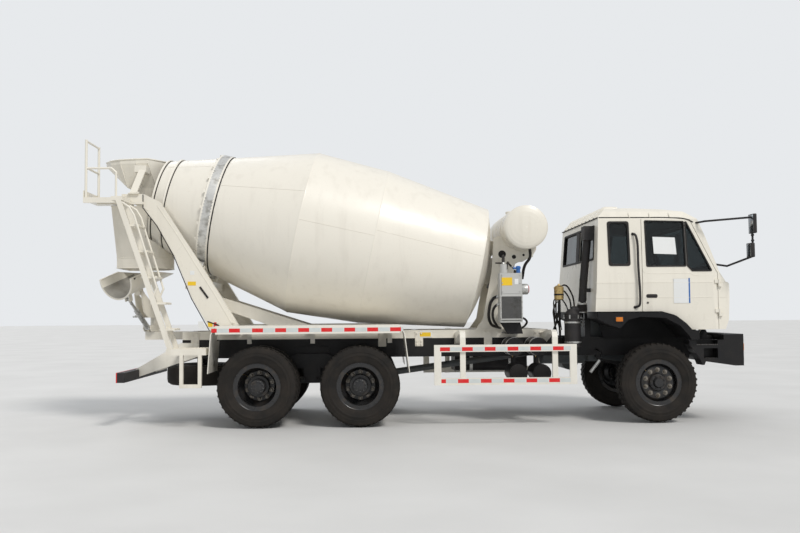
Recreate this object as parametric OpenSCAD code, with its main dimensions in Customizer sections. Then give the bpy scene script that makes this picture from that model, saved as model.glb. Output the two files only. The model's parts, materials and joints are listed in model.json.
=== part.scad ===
// Three-axle concrete mixer truck with a tilting cab, a revolving drum and a swinging chute.
// X points forward, Z up, and the origin is on the ground under the middle of the outline.
// Coordinates inside the modules are millimetres from the front axle line, on the ground.

/* [Chassis] */
// Distance from the front axle to the first rear axle
wheelbase = 3850; // [3810:10:3890]
// Distance between the two rear axles
bogie = 1300; // [1270:10:1330]
// Height of the chassis rails
rail_h = 250; // [240:5:260]
// Height of the mixer's own frame above the rails
sub_h = 110; // [100:5:120]
// Overall width of the body
body_w = 2480; // [2460:10:2500]

/* [Wheels] */
// Rolling radius of the tyres
tyre_r = 520; // [510:2:524]
// Width of one tyre
tyre_w = 278; // [260:2:284]
// Radius of the rim flange
rim_r = 292; // [284:2:300]
// Side offset of the front tyres' centres
front_y = 970; // [960:5:980]
// Side offset of the inner rear tyres' centres
inner_y = 769; // [764:1:774]
// Side offset of the outer rear tyres' centres
outer_y = 1091; // [1086:1:1096]

/* [Drum] */
// Slope of the drum's axis
drum_tilt = 12; // [11:0.5:13]
// Largest radius of the drum
drum_r = 1140; // [1110:10:1150]
// Radius of the drum at its mouth
mouth_r = 600; // [570:10:620]
// Radius of the roller track
track_r = 845; // [835:5:850]
// Thickness of the drum's shell
drum_wall = 10; // [6:1:14]

/* [Cab] */
// Half width of the cab at the belt
cab_half_w = 1160; // [1140:5:1165]
// Thickness of the cab's walls and doors
cab_wall = 45; // [40:1:50]
// Gap round a closed door
door_gap = 7; // [6:0.5:8]

/* [Body] */
// Height of the platform's floor
platform_z = 2960; // [2940:5:2970]
// Radius of the water tank
tank_r = 290; // [280:5:295]
// Slope of the discharge chute
chute_slope = 18; // [16:0.5:20]
// Length of the discharge chute
chute_l = 1180; // [1120:10:1200]

/* [Hidden] */
$fn = 64;
front_axle_x = 3120;
axle_x = [0, -wheelbase, -wheelbase - bogie];
bogie_x = -wheelbase - bogie / 2;
wheel_z = tyre_r;
side_y = body_w / 2;

// Ladder frame
rail_y = 430;
rail_flange = 80;
rail_t = 8;
rail_z = 850;
rail_top = rail_z + rail_h;
sub_z = rail_top + sub_h;
rail_front = 850;
rail_back = bogie_x - 1750;
sub_front = -1300;

// Thickness of the underrun bar's arms
arm_t = 14;

// Hubs, pins and their running clearance
pin_gap = 0.4;
kingpin_y = 800;
kingpin_r = 24;
spindle_r = 42;
axle_r = 80;
rear_hub_r = 62;

// Cab pivot
cab_pivot = [850, 1150];
cab_pin_r = 20;

// Drum frame: its origin is the seam at the largest radius, and its z axis runs down to the front
drum_x = -4645;
drum_z = 2580;
mouth_s = -2030;
track_s = -1234;
track_w = 150;
seam_s = 1000;
seam_r = drum_r - 54;
crease_s = 2453;
crease_r = 850;
head_bulge = 175;
hub_s = crease_s + head_bulge + 60;
hub_r = 190;
spigot_r = 70;
roller_r = 100;
roller_w = 120;
roller_angle = 33;
roller_pin_r = 30;
ring_clearance = 0.6;
roller_c = track_r + roller_r + ring_clearance;

// Rear pedestal's side plates and foot
pedestal_y = [740, 752];
pedestal_foot = [-5800, -5450];

// Discharge side
chute_turn = 22;
swivel_x = -6720;
swivel_pin_r = 55;

// Moves what is drawn from the front axle line to the part's own origin
module from_axle() {
    translate([front_axle_x, 0, 0])
        children();
}

// Draws its children on the left and again on the right
module both_sides() {
    children();
    mirror([0, 1, 0])
        children();
}

// Draws its children on the left when side is 1 and on the right when side is -1
module on_side(side) {
    mirror([0, side < 0 ? 1 : 0, 0])
        children();
}

// A box between two limits on each axis
module block(x, y, z) {
    translate([x[0], y[0], z[0]])
        cube([x[1] - x[0], y[1] - y[0], z[1] - z[0]]);
}

// A round bar between two points
module rod(a, b, r) {
    d = b - a;
    length = norm(d);
    translate(a)
        rotate([0, acos(d.z / length), atan2(d.y, d.x)])
            cylinder(r = r, h = length);
}

// A run of round bars through a list of points, with a slightly larger ball at each bend
module rod_path(points, r) {
    for (i = [0 : len(points) - 2])
        rod(points[i], points[i + 1], r);
    for (i = [1 : 1 : len(points) - 2])
        translate(points[i])
            sphere(r = r * 1.05);
}

// A plate whose outline lies in the side view, between two side offsets
module side_plate(outline, y) {
    translate([0, y[1], 0])
        rotate([90, 0, 0])
            linear_extrude(y[1] - y[0])
                polygon(outline);
}

// A solid whose outline lies in the front view as [y, z], between two lengths
module front_plate(outline, x) {
    translate([x[0], 0, 0])
        rotate([90, 0, 90])
            linear_extrude(x[1] - x[0])
                polygon(outline);
}

// A cylinder along the side axis
module side_cylinder(x, z, r, y) {
    translate([x, y[1], z])
        rotate([90, 0, 0])
            cylinder(r = r, h = y[1] - y[0]);
}

// The outline p, listed anticlockwise, moved inward by t
function unit(v) = v / norm(v);
function left_of(v) = [-v.y, v.x];
function inset(p, t) = [
    for (i = [0 : len(p) - 1])
        let (a = unit(p[i] - p[(i + len(p) - 1) % len(p)]))
        let (b = unit(p[(i + 1) % len(p)] - p[i]))
        let (n = left_of(a) + left_of(b))
        p[i] + n * t / (1 + left_of(a) * left_of(b))
];

// Places its children with their z axis along a wheel's own axis, pointing outward
module wheel_place(x, side) {
    from_axle()
        translate([x, 0, wheel_z])
            rotate([side < 0 ? 90 : -90, 0, 0])
                children();
}

module chassis_frame() {
    cross_x = [700, -1480, -2700, bogie_x + 900, bogie_x, bogie_x - 900, rail_back + 60];
    web_y = rail_y - rail_t;
    // Its top stays inside the circle that the cab's floor sweeps
    pivot_plate = [for (p = [[-60, 850 - 1090], [40, 850 - 1090], [40, 0], [30, 28], [18, 36], [-18, 36],
        [-30, 28], [-60, -20]]) cab_pivot + p];
    color("#1b1c1e") from_axle() {
        both_sides() {
            difference() {
                block([rail_back, rail_front], [rail_y - rail_flange, rail_y], [rail_z, rail_top]);
                block([rail_back - 1, rail_front + 1], [rail_y - rail_flange - 1, web_y],
                    [rail_z + rail_t, rail_top - rail_t]);
            }
            // Bracket and pin on which the cab tilts
            side_plate(pivot_plate, [rail_y, rail_y + 14]);
            side_cylinder(cab_pivot[0], cab_pivot[1], cab_pin_r, [rail_y - 95, rail_y + 14]);
            // Rear rest of the cab
            block([-790, -710], [rail_y - rail_flange, rail_y], [rail_top, 1434]);
        }
        for (x = cross_x)
            block([x - 30, x + 30], [-web_y, web_y], [rail_z + 110, rail_z + 200]);
    }
}

module subframe() {
    beam_w = 80;
    cross_x = [sub_front - 40, -3100, bogie_x, rail_back + 50];
    color("#e9e5da") from_axle() {
        both_sides()
            block([rail_back, sub_front], [rail_y - beam_w, rail_y], [rail_top, sub_z]);
        for (x = cross_x)
            block([x - 40, x + 40], [-(rail_y - beam_w), rail_y - beam_w], [rail_top, sub_z]);
        // Bracket that carries the chute's swivel
        difference() {
            block([swivel_x - 110, rail_back + 50], [-110, 110], [rail_top, sub_z]);
            translate([swivel_x, 0, rail_top - 1])
                cylinder(r = swivel_pin_r + pin_gap, h = sub_h + 2);
        }
    }
}

// Middle line of the propeller shaft, from the gearbox to the first rear axle
shaft_from = [-1300, 0, rail_z + 50];
shaft_to = [axle_x[1], 0, wheel_z + 40];
pinion = shaft_to + unit(shaft_from - shaft_to) * 300;
boss_l = 240;
seat_gap = 0.3;

module powertrain() {
    shaft_r = 45;
    silencer = [-800, 720];
    color("#33373a") from_axle() {
        block([-720, 60], [-300, 300], [rail_z - 90, 1360]);
        both_sides()
            block([-420, -320], [299, rail_y - rail_t], [rail_z + 50, rail_z + 130]);
        // Fan and radiator below the cab's floor
        rod([59, 0, 1110], [181, 0, 1110], 60);
        block([180, 600], [-310, 310], [rail_z + 60, 1188]);
        rod([-719, 0, rail_z + 50], [-1320, 0, rail_z + 50], 185);
        rod(shaft_from, pinion + unit(shaft_from - shaft_to) * seat_gap, shaft_r);
        rod([axle_x[1] - boss_l, 0, wheel_z], [axle_x[2] + boss_l, 0, wheel_z], shaft_r);
        side_cylinder(silencer[0], silencer[1], 125, [500, 1030]);
        rod_path([[-680, 250, 785], [-725, 420, 740], [silencer[0], 520, silencer[1]]], 40);
    }
}

module front_axle() {
    boss_h = 140;
    color("#232527") from_axle() {
        block([-45, 45], [-kingpin_y + 40, kingpin_y - 40], [wheel_z - 40, wheel_z + 60]);
        both_sides()
            difference() {
                translate([0, kingpin_y, wheel_z - boss_h / 2])
                    cylinder(r = 54, h = boss_h);
                translate([0, kingpin_y, wheel_z - boss_h])
                    cylinder(r = kingpin_r + pin_gap, h = 2 * boss_h);
            }
    }
}

module rear_axles() {
    color("#232527") from_axle() {
        for (x = [axle_x[1], axle_x[2]]) {
            translate([x, 0, wheel_z])
                sphere(r = 200);
            rod([x - boss_l, 0, wheel_z], [x, 0, wheel_z], 75);
            both_sides() {
                side_cylinder(x, wheel_z, axle_r, [0, 640]);
                side_cylinder(x, wheel_z, rear_hub_r, [639, outer_y + 70]);
                block([x - 60, x + 60], [455, 545], [wheel_z, wheel_z + 120]);
            }
        }
        rod(pinion, shaft_to, 75);
        rod([axle_x[2] + boss_l, 0, wheel_z], [axle_x[2], 0, wheel_z], 75);
    }
}

module leaf_springs() {
    rear_y = [455, 545];
    front_y_limits = [rail_y - rail_flange, rail_y];
    seat = wheel_z + 60;
    pad = wheel_z + 120;
    front_pack = [[-640, 800], [-300, 700], [-60, seat + 60], [-60, seat], [60, seat],
        [60, seat + 60], [300, 700], [640, 800], [640, 822], [300, 745], [0, 705], [-300, 745],
        [-640, 822]];
    bracket = [[-240, rail_z + 150], [-90, 520], [90, 520], [240, rail_z + 150]];
    color("#26282a") from_axle() both_sides() {
        side_plate(front_pack, front_y_limits);
        for (x = [-640, 600])
            block([x, x + 40], front_y_limits, [800, rail_z]);
        translate([bogie_x, 0, 0]) {
            side_plate([[-bogie / 2 - 50, pad], [-200, 715], [200, 715], [bogie / 2 + 50, pad],
                [bogie / 2 + 50, pad + 40], [200, 905], [-200, 905], [-bogie / 2 - 50, pad + 40]],
                rear_y);
            block([-110, 110], rear_y, [600, 716]);
            side_cylinder(0, 597, 60, [rail_y, rear_y[1]]);
            side_plate(bracket, [rail_y, rear_y[0]]);
        }
    }
}

lamp_y = [640, 920];

// Cuts the bumper's ends back towards the sides
module bumper_ends(front_x, end_y) {
    both_sides()
        translate([0, 0, 700])
            linear_extrude(500)
                polygon([[front_x + 1, end_y - 222], [front_x + 1, end_y + 1], [front_x - 96, end_y + 1]]);
}

// Bumper across the front, with a step well under each door
module bumper() {
    front_x = 1190;
    beam = [[980, 734], [1100, 734], [front_x, 800], [front_x, 1090], [1150, 1138], [980, 1138]];
    // Its back edge clears the steered tyre
    corner = [[1107, 734], [1107, 1138], [838, 1138], [838, 1066], [763, 1066], [390, 1066],
        [390, 1010], [430, 950], [475, 900], [520, 830], [556, 745], [580, 745], [600, 790], [983, 734]];
    end_y = 1150;
    step_y = [930, 1150];
    color("#1d1e20") from_axle() {
        difference() {
            side_plate(beam, [-end_y, end_y]);
            bumper_ends(front_x, end_y);
            // Tow pin's bore in the middle
            translate([1140, 0, 700])
                cylinder(r = 20, h = 500);
            block([1090, 1200], [-60, 60], [860, 960]);
            // Lamp pockets
            both_sides()
                block([1150, 1200], lamp_y, [900, 1040]);
        }
        both_sides() {
            block([rail_front, 981], [rail_y - rail_flange, rail_y], [rail_z, rail_top]);
            difference() {
                side_plate(corner, step_y);
                bumper_ends(front_x, end_y);
                block([480, 760], [step_y[0] + 60, 1200], [1002, 1067]);
                block([575, 760], [step_y[0] + 60, 1200], [830, 960]);
            }
        }
    }
}

// Lamps in the bumper, on the rear bar and on the cab's shoulders
module lamps() {
    color("#f1ead8") from_axle() both_sides() {
        block([1150, 1184], lamp_y, [900, 1040]);
        block([rail_back - 700, rail_back - 670], [640, 1000], [600, 700]);
    }
}

module rear_fenders() {
    y = [560, side_y];
    top = sub_z + 84;
    sheet = 10;
    front_x = bogie_x + bogie / 2 + 572;
    back_x = bogie_x - bogie / 2 - 583;
    skin = [[back_x - 36, 696], [back_x, top - 110], [back_x + 60, top], [front_x - 60, top],
        [front_x, top - 110], [front_x + 60, 691], [front_x + 60 - sheet, 691],
        [front_x - sheet, top - 115], [front_x - 66, top - sheet], [back_x + 66, top - sheet],
        [back_x + sheet, top - 115], [back_x - 36 + sheet, 696]];
    support_x = [front_x - 180, bogie_x, bogie_x - 850];
    color("#e9e5da") from_axle() both_sides() {
        difference() {
            side_plate(skin, y);
            // Notch round the foot of the pedestal
            block([pedestal_foot[0] - 40, pedestal_foot[1] + 20], [y[0] - 1, pedestal_y[1] + 13],
                [top - 200, top + 1]);
        }
        // Deep bar along the outer edge
        block([back_x + 62, front_x - 62], [side_y - 30, side_y], [top - 105, top - 1]);
        for (x = support_x) {
            block([x - 30, x + 30], [rail_y, side_y - 29], [top - 70, top - sheet + 1]);
            block([x - 30, x + 30], [rail_y, rail_y + 30], [rail_top - 60, top - 60]);
        }
    }
}

module side_guards() {
    x = [-2911, -1092];
    z = [524, 1033];
    bar = 90;
    y = [side_y - 28, side_y];
    top = z[1] + 180;
    // Each post runs on above the upper bar and bends inward to the frame
    arm = [[rail_y, rail_top - 80], [rail_y, rail_top + 60], [y[0] - 260, top], [y[0] - 90, top],
        [y[0] - 25, top - 25], [y[0], top - 90], [y[0], z[1] - 1], [y[0] - 40, z[1] - 1],
        [y[0] - 40, top - 80], [y[0] - 55, top - 58], [y[0] - 95, top - 50], [y[0] - 250, top - 50]];
    color("#e9e5da") from_axle() both_sides() {
        block(x, y, [z[0], z[0] + bar]);
        block(x, y, [z[1] - bar, z[1]]);
        block([x[0], x[0] + bar], y, z);
        block([x[1] - bar, x[1]], y, z);
        for (post_x = [-2543, -1363]) {
            block([post_x - 35, post_x + 35], [y[0] - 40, y[0]], [z[0], z[1]]);
            front_plate(arm, [post_x - 35, post_x + 35]);
        }
    }
}

module underrun_bar() {
    x = [rail_back - 670, rail_back - 570];
    z = [590, 710];
    arm = [[rail_back - 20, 1060], [x[1] - 60, z[1] - 1], [x[1] - 60, z[0] + 20],
        [x[1] - 20, z[0] + 20], [rail_back + 220, 880], [rail_back + 220, 1060]];
    color("#e9e5da") from_axle() {
        block(x, [-1150, 1150], z);
        both_sides()
            side_plate(arm, [rail_y, rail_y + arm_t]);
    }
}

// Spare wheel lying flat under the rear of the frame, with its carrier
module spare_wheel() {
    middle = [rail_back + 230, 0, 620];
    color("#2a2725") from_axle() translate(middle) {
        rotate_extrude()
            polygon([[258, -100], [300, -118], [400, -139], [470, -132], [508, -105], [516, -60],
                [516, 60], [508, 105], [470, 132], [400, 139], [300, 118], [258, 100]]);
        difference() {
            cylinder(r = 259, h = 40);
            translate([0, 0, -1])
                cylinder(r = 110, h = 42);
        }
        both_sides()
            block([-30, 30], [-1, 350], [25, 55]);
        block([-30, 30], [-rail_y, rail_y], [160, rail_z - middle.z]);
        block([-25, 25], [-25, 25], [54, 161]);
    }
}

// Places its children in the drum's frame, with z along its axis and x pointing down
module drum_place() {
    from_axle()
        translate([drum_x, 0, drum_z])
            rotate([0, 90 + drum_tilt, 0])
                children();
}

// The drum's outline as [distance along the axis, radius], from the mouth to the head
function drum_outline() = concat(
    [[mouth_s, mouth_r], [0, drum_r], [seam_s, seam_r], [crease_s, crease_r]],
    [for (i = [1 : 8])
        let (r = crease_r * (1 - i / 8))
        [crease_s + head_bulge * (1 - pow(r / crease_r, 2)), r]]
);

module drum() {
    outer = drum_outline();
    last = len(outer) - 1;
    inner = [for (i = [last : -1 : 0])
        [outer[i][0] - (i > 2 ? drum_wall : 0), max(0, outer[i][1] - drum_wall)]];
    seat_r = mouth_r + (drum_r - mouth_r) * (track_s - mouth_s) / -mouth_s;
    color("#e9e5da") drum_place() {
        rotate_extrude($fn = 96)
            polygon([for (p = concat(outer, inner)) [p[1], p[0]]]);
        // Roller track, lip and stiffening ring
        for (ring = [[track_s, track_w, seat_r - 25, track_r],
                     [mouth_s + 12, 24, mouth_r - 8, mouth_r + 22],
                     [mouth_s + 175, 24, mouth_r + 36, mouth_r + 66]])
            translate([0, 0, ring[0] - ring[1] / 2])
                difference() {
                    cylinder(r = ring[3], h = ring[1], $fn = 96);
                    translate([0, 0, -1])
                        cylinder(r = ring[2], h = ring[1] + 2, $fn = 96);
                }
        translate([0, 0, crease_s + head_bulge - 30])
            cylinder(r = hub_r, h = hub_s - crease_s - head_bulge + 30);
        translate([0, 0, hub_s - 1])
            cylinder(r = spigot_r, h = 80);
    }
}

// Places its children on a drum roller's axis
module roller_place(side) {
    drum_place()
        translate([roller_c * cos(roller_angle), side * roller_c * sin(roller_angle), track_s])
            children();
}

module roller(side) {
    color("#8d8a84") roller_place(side) {
        translate([0, 0, -roller_w / 2])
            cylinder(r = roller_r, h = roller_w);
        translate([0, 0, -roller_w / 2 - 25])
            cylinder(r = roller_pin_r, h = roller_w + 50);
    }
}

module front_pedestal() {
    tank = [-1640, 2572];
    y = [400, 420];
    cheek = [[-2290, sub_z], [-1650, sub_z], [-1650, sub_z + 40], [-1750, 1400], [-1770, 1900],
        [-1731, 2122], [-1634, 2130], [-1492, 2208], [-1438, 2296], [-1438, 2370], [-1963, 2491],
        [-2025, 2457], [-2057, 2002], [-2132, 1618], [-2179, 1358], [-2267, 1237]];
    color("#e9e5da") from_axle() {
        difference() {
            union() {
                both_sides()
                    side_plate(cheek, y);
                block([-1960, -1780], [-y[0] - 1, y[0] + 1], [1640, 1745]);
                block([-1800, -1480], [-y[0] - 1, y[0] + 1], [2200, 2300]);
                block([-2290, -1660], [-y[0] - 1, y[0] + 1], [sub_z, sub_z + 14]);
                both_sides()
                    block([-2290, -1660], [360, 470], [sub_z, sub_z + 14]);
            }
            side_cylinder(tank[0], tank[1], tank_r, [-900, 900]);
            both_sides()
                side_cylinder(-1910, 2237, 45, [380, 440]);
        }
    }
}

module drum_gearbox() {
    flange_s = hub_s + 6;
    color("#3a4148") {
        drum_place() difference() {
            union() {
                translate([0, 0, flange_s])
                    cylinder(r = 235, h = 60);
                translate([0, 0, flange_s + 59])
                    cylinder(r = 195, h = 200);
                translate([0, 0, flange_s + 258])
                    cylinder(r = 85, h = 150);
                translate([0, 0, flange_s])
                    block([0, 235], [-150, 150], [0, 150]);
            }
            translate([0, 0, flange_s - 1])
                cylinder(r = spigot_r + pin_gap, h = 90);
        }
        from_axle()
            block([-1950, -1800], [-130, 130], [1745, 1860]);
    }
}

module oil_cooler() {
    x = [-2030, -1740];
    y = [-1010, -800];
    z = [1309, 1952];
    core_top = 1636;
    color("#c9c9c4") from_axle() {
        difference() {
            block(x, y, z);
            for (i = [0 : 8])
                block([x[0] + 25, x[1] - 25], [y[0] - 1, y[0] + 20],
                    [z[0] + 20 + i * 28, z[0] + 34 + i * 28]);
        }
        block([x[0] + 20, x[1] - 20], [y[0] - 12, y[0] + 1], [core_top + 10, z[1] - 15]);
        for (z0 = [z[0] + 40, core_top + 120])
            block([x[0] + 50, x[0] + 130], [y[1] - 1, -420], [z0, z0 + 70]);
        // Filter with its cap
        translate([x[0] + 60, y[0] + 80, z[1] - 1]) {
            cylinder(r = 45, h = 120);
            cylinder(r = 52, h = 40);
        }
    }
}

module water_tank() {
    x = -1640;
    z = 2572;
    half_l = 800;
    dome = 60;
    color("#e9e5da") from_axle() translate([x, 0, z]) rotate([-90, 0, 0]) {
        rotate_extrude()
            polygon(concat(
                [for (i = [0 : 6]) [tank_r * sin(90 * i / 6), -half_l - dome * cos(90 * i / 6)]],
                [for (i = [6 : -1 : 0]) [tank_r * sin(90 * i / 6), half_l + dome * cos(90 * i / 6)]]));
        // Filler neck and outlet
        translate([0, -tank_r + 20, 500])
            rotate([90, 0, 0])
                cylinder(r = 70, h = 60);
    }
}

module rear_pedestal() {
    y = pedestal_y;
    foot = pedestal_foot;
    cheek = [[-6991, 3038], [-6991, 2990], [-6697, 2835], [-6520, 2621], [-6295, 2219],
        [-6059, 1652], [foot[0], sub_z], [foot[1], sub_z], [foot[1], 1295], [-5991, 2169],
        [-6487, 2931], [-6699, 3038]];
    brace = [[-5840, 1660], [-5620, 1480], [-5208, 1335], [-4900, sub_z], [-4420, sub_z],
        [-4420, sub_z + 40], [-5810, 1700]];
    beam_x = [-6150, -5900];
    color("#e9e5da") {
        from_axle() {
            both_sides() {
                side_plate(cheek, y);
                // Edge flanges
                side_plate([[-5991, 2169], [-5450, 1295], [-5462, 1290], [-6003, 2164]],
                    [y[0] - 70, y[0] + 1]);
                side_plate([[-6487, 2931], [-5991, 2169], [-6003, 2164], [-6497, 2924]],
                    [y[0] - 40, y[0] + 1]);
                side_plate(brace, [rail_y - 30, rail_y]);
            }
            block(beam_x, [-y[0] - 1, y[0] + 1], [1780, 1890]);
            block([-5990, -5800], [-y[0] - 1, y[0] + 1], [1540, 1680]);
            block(foot, [-y[0] - 1, y[0] + 1], [sub_z, sub_z + 85]);
        }
        // Cheeks that carry the drum rollers
        for (side = [-1, 1])
            roller_place(side)
                for (end = [-1, 1])
                    difference() {
                        translate([0, 0, end * (roller_w / 2 + 16)])
                            block([-45, 225], [-60, 60], [-8, 8]);
                        translate([0, 0, -roller_w])
                            cylinder(r = roller_pin_r + pin_gap, h = 2 * roller_w);
                    }
    }
}

// Feed hopper above the drum's mouth
module hopper() {
    sheet = 8;
    rim = [[-7395, -70], [-7290, -230], [-7131, -330], [-6900, -390], [-6738, -410], [-6560, -150],
        [-6560, 150], [-6738, 410], [-6900, 390], [-7131, 330], [-7290, 230], [-7395, 70]];
    module funnel(t) {
        hull() {
            translate([0, 0, 3510])
                linear_extrude(60 + t)
                    offset(delta = -t)
                        polygon(rim);
            translate([-6810, 0, 3190])
                block([-240 + t, 160 - t], [-260 + t, 260 - t], [0, 10]);
        }
        hull() {
            translate([-6810, 0, 3190])
                block([-240 + t, 160 - t], [-260 + t, 260 - t], [0, 10]);
            translate([-6590, 0, 3010])
                block([-90, 60 + t], [-200 + t, 200 - t], [t, 150 - t]);
        }
    }
    color("#e9e5da") from_axle() {
        difference() {
            union() {
                funnel(0);
                both_sides()
                    block([-6866, -6712], [280, 600], [3356, 3445]);
            }
            funnel(sheet);
        }
        both_sides() {
            block([-6900, -6760], [725, 790], [3038, 3050]);
            hull() {
                block([-6880, -6790], [740, 766], [3049, 3060]);
                block([-6806, -6716], [572, 598], [3380, 3390]);
            }
        }
    }
}

// Funnel that gathers the concrete below the drum's mouth
module discharge_funnel() {
    sheet = 6;
    collar = [-6800, 0, 2075];
    collar_h = 150;
    collar_r = 330;
    collar_back = -7165;
    top = [[-7180, -6640], [-560, 560], [2895, 2905]];
    module collar_outline(inset, z) {
        translate([collar.x, 0, z[0]])
            cylinder(r = collar_r - inset, h = z[1] - z[0]);
        block([collar_back + inset, collar.x], [-collar_r + inset, collar_r - inset], z);
    }
    color("#e9e5da") {
        difference() {
            from_axle()
                hull() {
                    block(top[0], top[1], top[2]);
                    block([collar_back, collar.x], [-collar_r, collar_r],
                        [collar.z + collar_h, collar.z + collar_h + 10]);
                    translate([collar.x, 0, collar.z + collar_h])
                        cylinder(r = collar_r, h = 10, $fn = 32);
                }
            from_axle()
                hull() {
                    block([top[0][0] + sheet, top[0][1] - sheet],
                        [top[1][0] + sheet, top[1][1] - sheet], [top[2][0], top[2][1] + 1]);
                    block([collar_back + sheet, collar.x], [-collar_r + sheet, collar_r - sheet],
                        [collar.z + collar_h - 1, collar.z + collar_h + 9]);
                    translate([collar.x, 0, collar.z + collar_h - 1])
                        cylinder(r = collar_r - sheet, h = 10, $fn = 32);
                }
            // Room for the drum's mouth, its rings and its cone
            drum_place() {
                translate([0, 0, mouth_s - 22])
                    cylinder(r = mouth_r + 76, h = 260);
                translate([0, 0, mouth_s])
                    cylinder(r1 = mouth_r + 12, r2 = mouth_r + 12 + 600 * (drum_r - mouth_r) / -mouth_s,
                        h = 600);
            }
        }
        from_axle() {
            difference() {
                collar_outline(0, [collar.z, collar.z + collar_h]);
                collar_outline(sheet, [collar.z - 1, collar.z + collar_h + 1]);
            }
            both_sides()
                block([-6990, -6880], [545, 740], [2905, 3030]);
        }
    }
}

platform_x = [-7430, -6996];
platform_y = [-950, -350];

module platform() {
    beam_h = 60;
    rail_r = 17;
    posts = [[platform_x[0] + 30, platform_y[0] + 20], [platform_x[0] + 30, platform_y[1] - 50]];
    rail_z = [platform_z + 400, platform_z + 749];
    gate_x = -6983;
    color("#e9e5da") from_axle() {
        block(platform_x, platform_y, [platform_z - beam_h / 2, platform_z]);
        block(platform_x, [platform_y[0], platform_y[0] + 40], [platform_z - beam_h, platform_z + 10]);
        block([platform_x[0], platform_x[0] + 12], platform_y, [platform_z - 20, platform_z + 100]);
        // Beam along the pedestal's cheek
        block([-7300, -6700], [-800, -752], [platform_z - 62, platform_z - 29]);
        for (post = posts)
            rod([post.x, post.y, platform_z - 5], [post.x, post.y, rail_z[1] + rail_r], rail_r);
        for (z = rail_z)
            rod([posts[1].x, posts[1].y, z], [posts[0].x, posts[0].y, z], rail_r - 3);
        rod_path([[posts[0].x, posts[0].y, rail_z[0] - 8], [gate_x - 90, posts[0].y, rail_z[0] - 7],
            [gate_x - 30, posts[0].y, rail_z[0] - 60], [gate_x - 30, posts[0].y, platform_z]], rail_r - 3);
    }
}

// Ladder to the platform, with the step below it
module ladder() {
    top = [platform_x[1] + 95, platform_z - 59];
    foot = [rail_back + 8, 1010];
    half_w = 35;
    stringer_y = [[-side_y + 25, -side_y + 55], [-side_y + 375, -side_y + 405]];
    tread_pitch = (top.y - foot.y) / 5.7;
    tread_x = [-58, 142];
    step_x = [rail_back - 35, rail_back + 465];
    // Handrail as [distance before the stringer, drop below its top]
    rail = [[36, 31], [102, 90], [129, 192], [100, 1120], [0, 1250]];
    function stringer_x(z) = top.x + (foot.x - top.x) * (top.y - z) / (top.y - foot.y);
    color("#e9e5da") from_axle() {
        for (y = stringer_y) {
            side_plate([[top.x - half_w, top.y], [foot.x - half_w, foot.y], [foot.x + half_w, foot.y],
                [top.x + half_w, top.y]], y);
            rod_path([for (p = rail)
                [stringer_x(top.y - p[1]) + p[0], (y[0] + y[1]) / 2, top.y - p[1]]], 13);
        }
        for (i = [0 : 4]) {
            z = top.y - 319 - i * tread_pitch;
            block([stringer_x(z) + tread_x[0], stringer_x(z) + tread_x[1]],
                [stringer_y[0][1] - 1, stringer_y[1][0] + 1], [z - 14, z + 10]);
        }
        block([platform_x[1], top.x + half_w + 16], [stringer_y[0][0], stringer_y[1][1]],
            [platform_z - 60, platform_z - 10]);
        // Step with its legs and arms
        block(step_x, [-side_y, -side_y + 440], [930, foot.y]);
        for (arm = [[rail_back + 20, rail_y + arm_t], [rail_back + 350, rail_y]])
            block([arm[0] - 30, arm[0] + 30], [-side_y + 439, -arm[1]], [940, 1000]);
        for (x = [rail_back + 158, rail_back + 388])
            block([x - 22, x + 22], [-side_y, -side_y + 50], [520, 931]);
        block([rail_back + 158, rail_back + 388], [-side_y, -side_y + 50], [520, 565]);
    }
}

module air_tanks() {
    r = 118;
    y = [-940, -470];
    upper = [[-1830, 991], [-1521, 991]];
    lower = [[-1790, 643], [-1480, 643]];
    color("#26282a") from_axle() {
        for (c = concat(upper, lower))
            side_cylinder(c[0], c[1], r, y);
        // Hangers from the frame
        for (c = concat(upper, lower))
            block([c[0] - 25, c[0] + 25], [-560, -rail_y], [c[1] < 900 ? 730 : 960, 1000]);
        block([-1900, -1465], [-rail_y - 16, -rail_y], [rail_z + 20, 1010]);
    }
}

module fuel_tank() {
    x = [-2490, -1430];
    y = [500, side_y - 120];
    z = [590, 1060];
    r = 70;
    color("#2b2d2f") from_axle() {
        difference() {
            block(x, y, z);
            // Rounded edges along the tank
            for (edge = [[y[0], z[0], 1, 1], [y[0], z[1], 1, -1], [y[1], z[0], -1, 1], [y[1], z[1], -1, -1]])
                translate([x[0] - 1, edge[0] + edge[2] * r, edge[1] + edge[3] * r])
                    rotate([90, 0, 90])
                        difference() {
                            translate([edge[2] > 0 ? -r - 1 : 0, edge[3] > 0 ? -r - 1 : 0, 0])
                                cube([r + 1, r + 1, x[1] - x[0] + 2]);
                            translate([0, 0, -1])
                                cylinder(r = r, h = x[1] - x[0] + 4);
                        }
        }
        for (strap_x = [-2250, -1480])
            block([strap_x - 30, strap_x + 30], [rail_y, y[0] + 1], [rail_z + 20, 1000]);
        translate([-2350, y[1] - 120, z[1] - 1])
            cylinder(r = 55, h = 40);
    }
}

// Air cleaner behind the cab, with the bellows that meets the cab's intake pipe
module air_cleaner() {
    c = [-1047, -820];
    r = 106;
    color("#2a2c2e") from_axle() {
        translate([c.x, c.y, 978]) {
            cylinder(r = r, h = 440);
            translate([0, 0, 439])
                cylinder(r1 = r, r2 = 55, h = 60);
        }
        translate([-915, c.y, 1424])
            cylinder(r = 62, h = 126);
        rod([c.x, c.y, 1465], [-915, c.y, 1465], 50);
        block([-1085, -1010], [c.y + 60, -rail_y], [1000, 1080]);
    }
}

// The cab's side outline, anticlockwise from the lower rear corner
cab_side = [[-822, 1440], [40, 1440], [205, 1393], [335, 1294], [417, 1202], [882, 1202],
    [935, 1338], [960, 1618], [955, 1793], [898, 1818], [802, 1959], [650, 2405], [555, 2645],
    [396, 2746], [141, 2785], [-266, 2807], [-613, 2806], [-742, 2677]];

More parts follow.
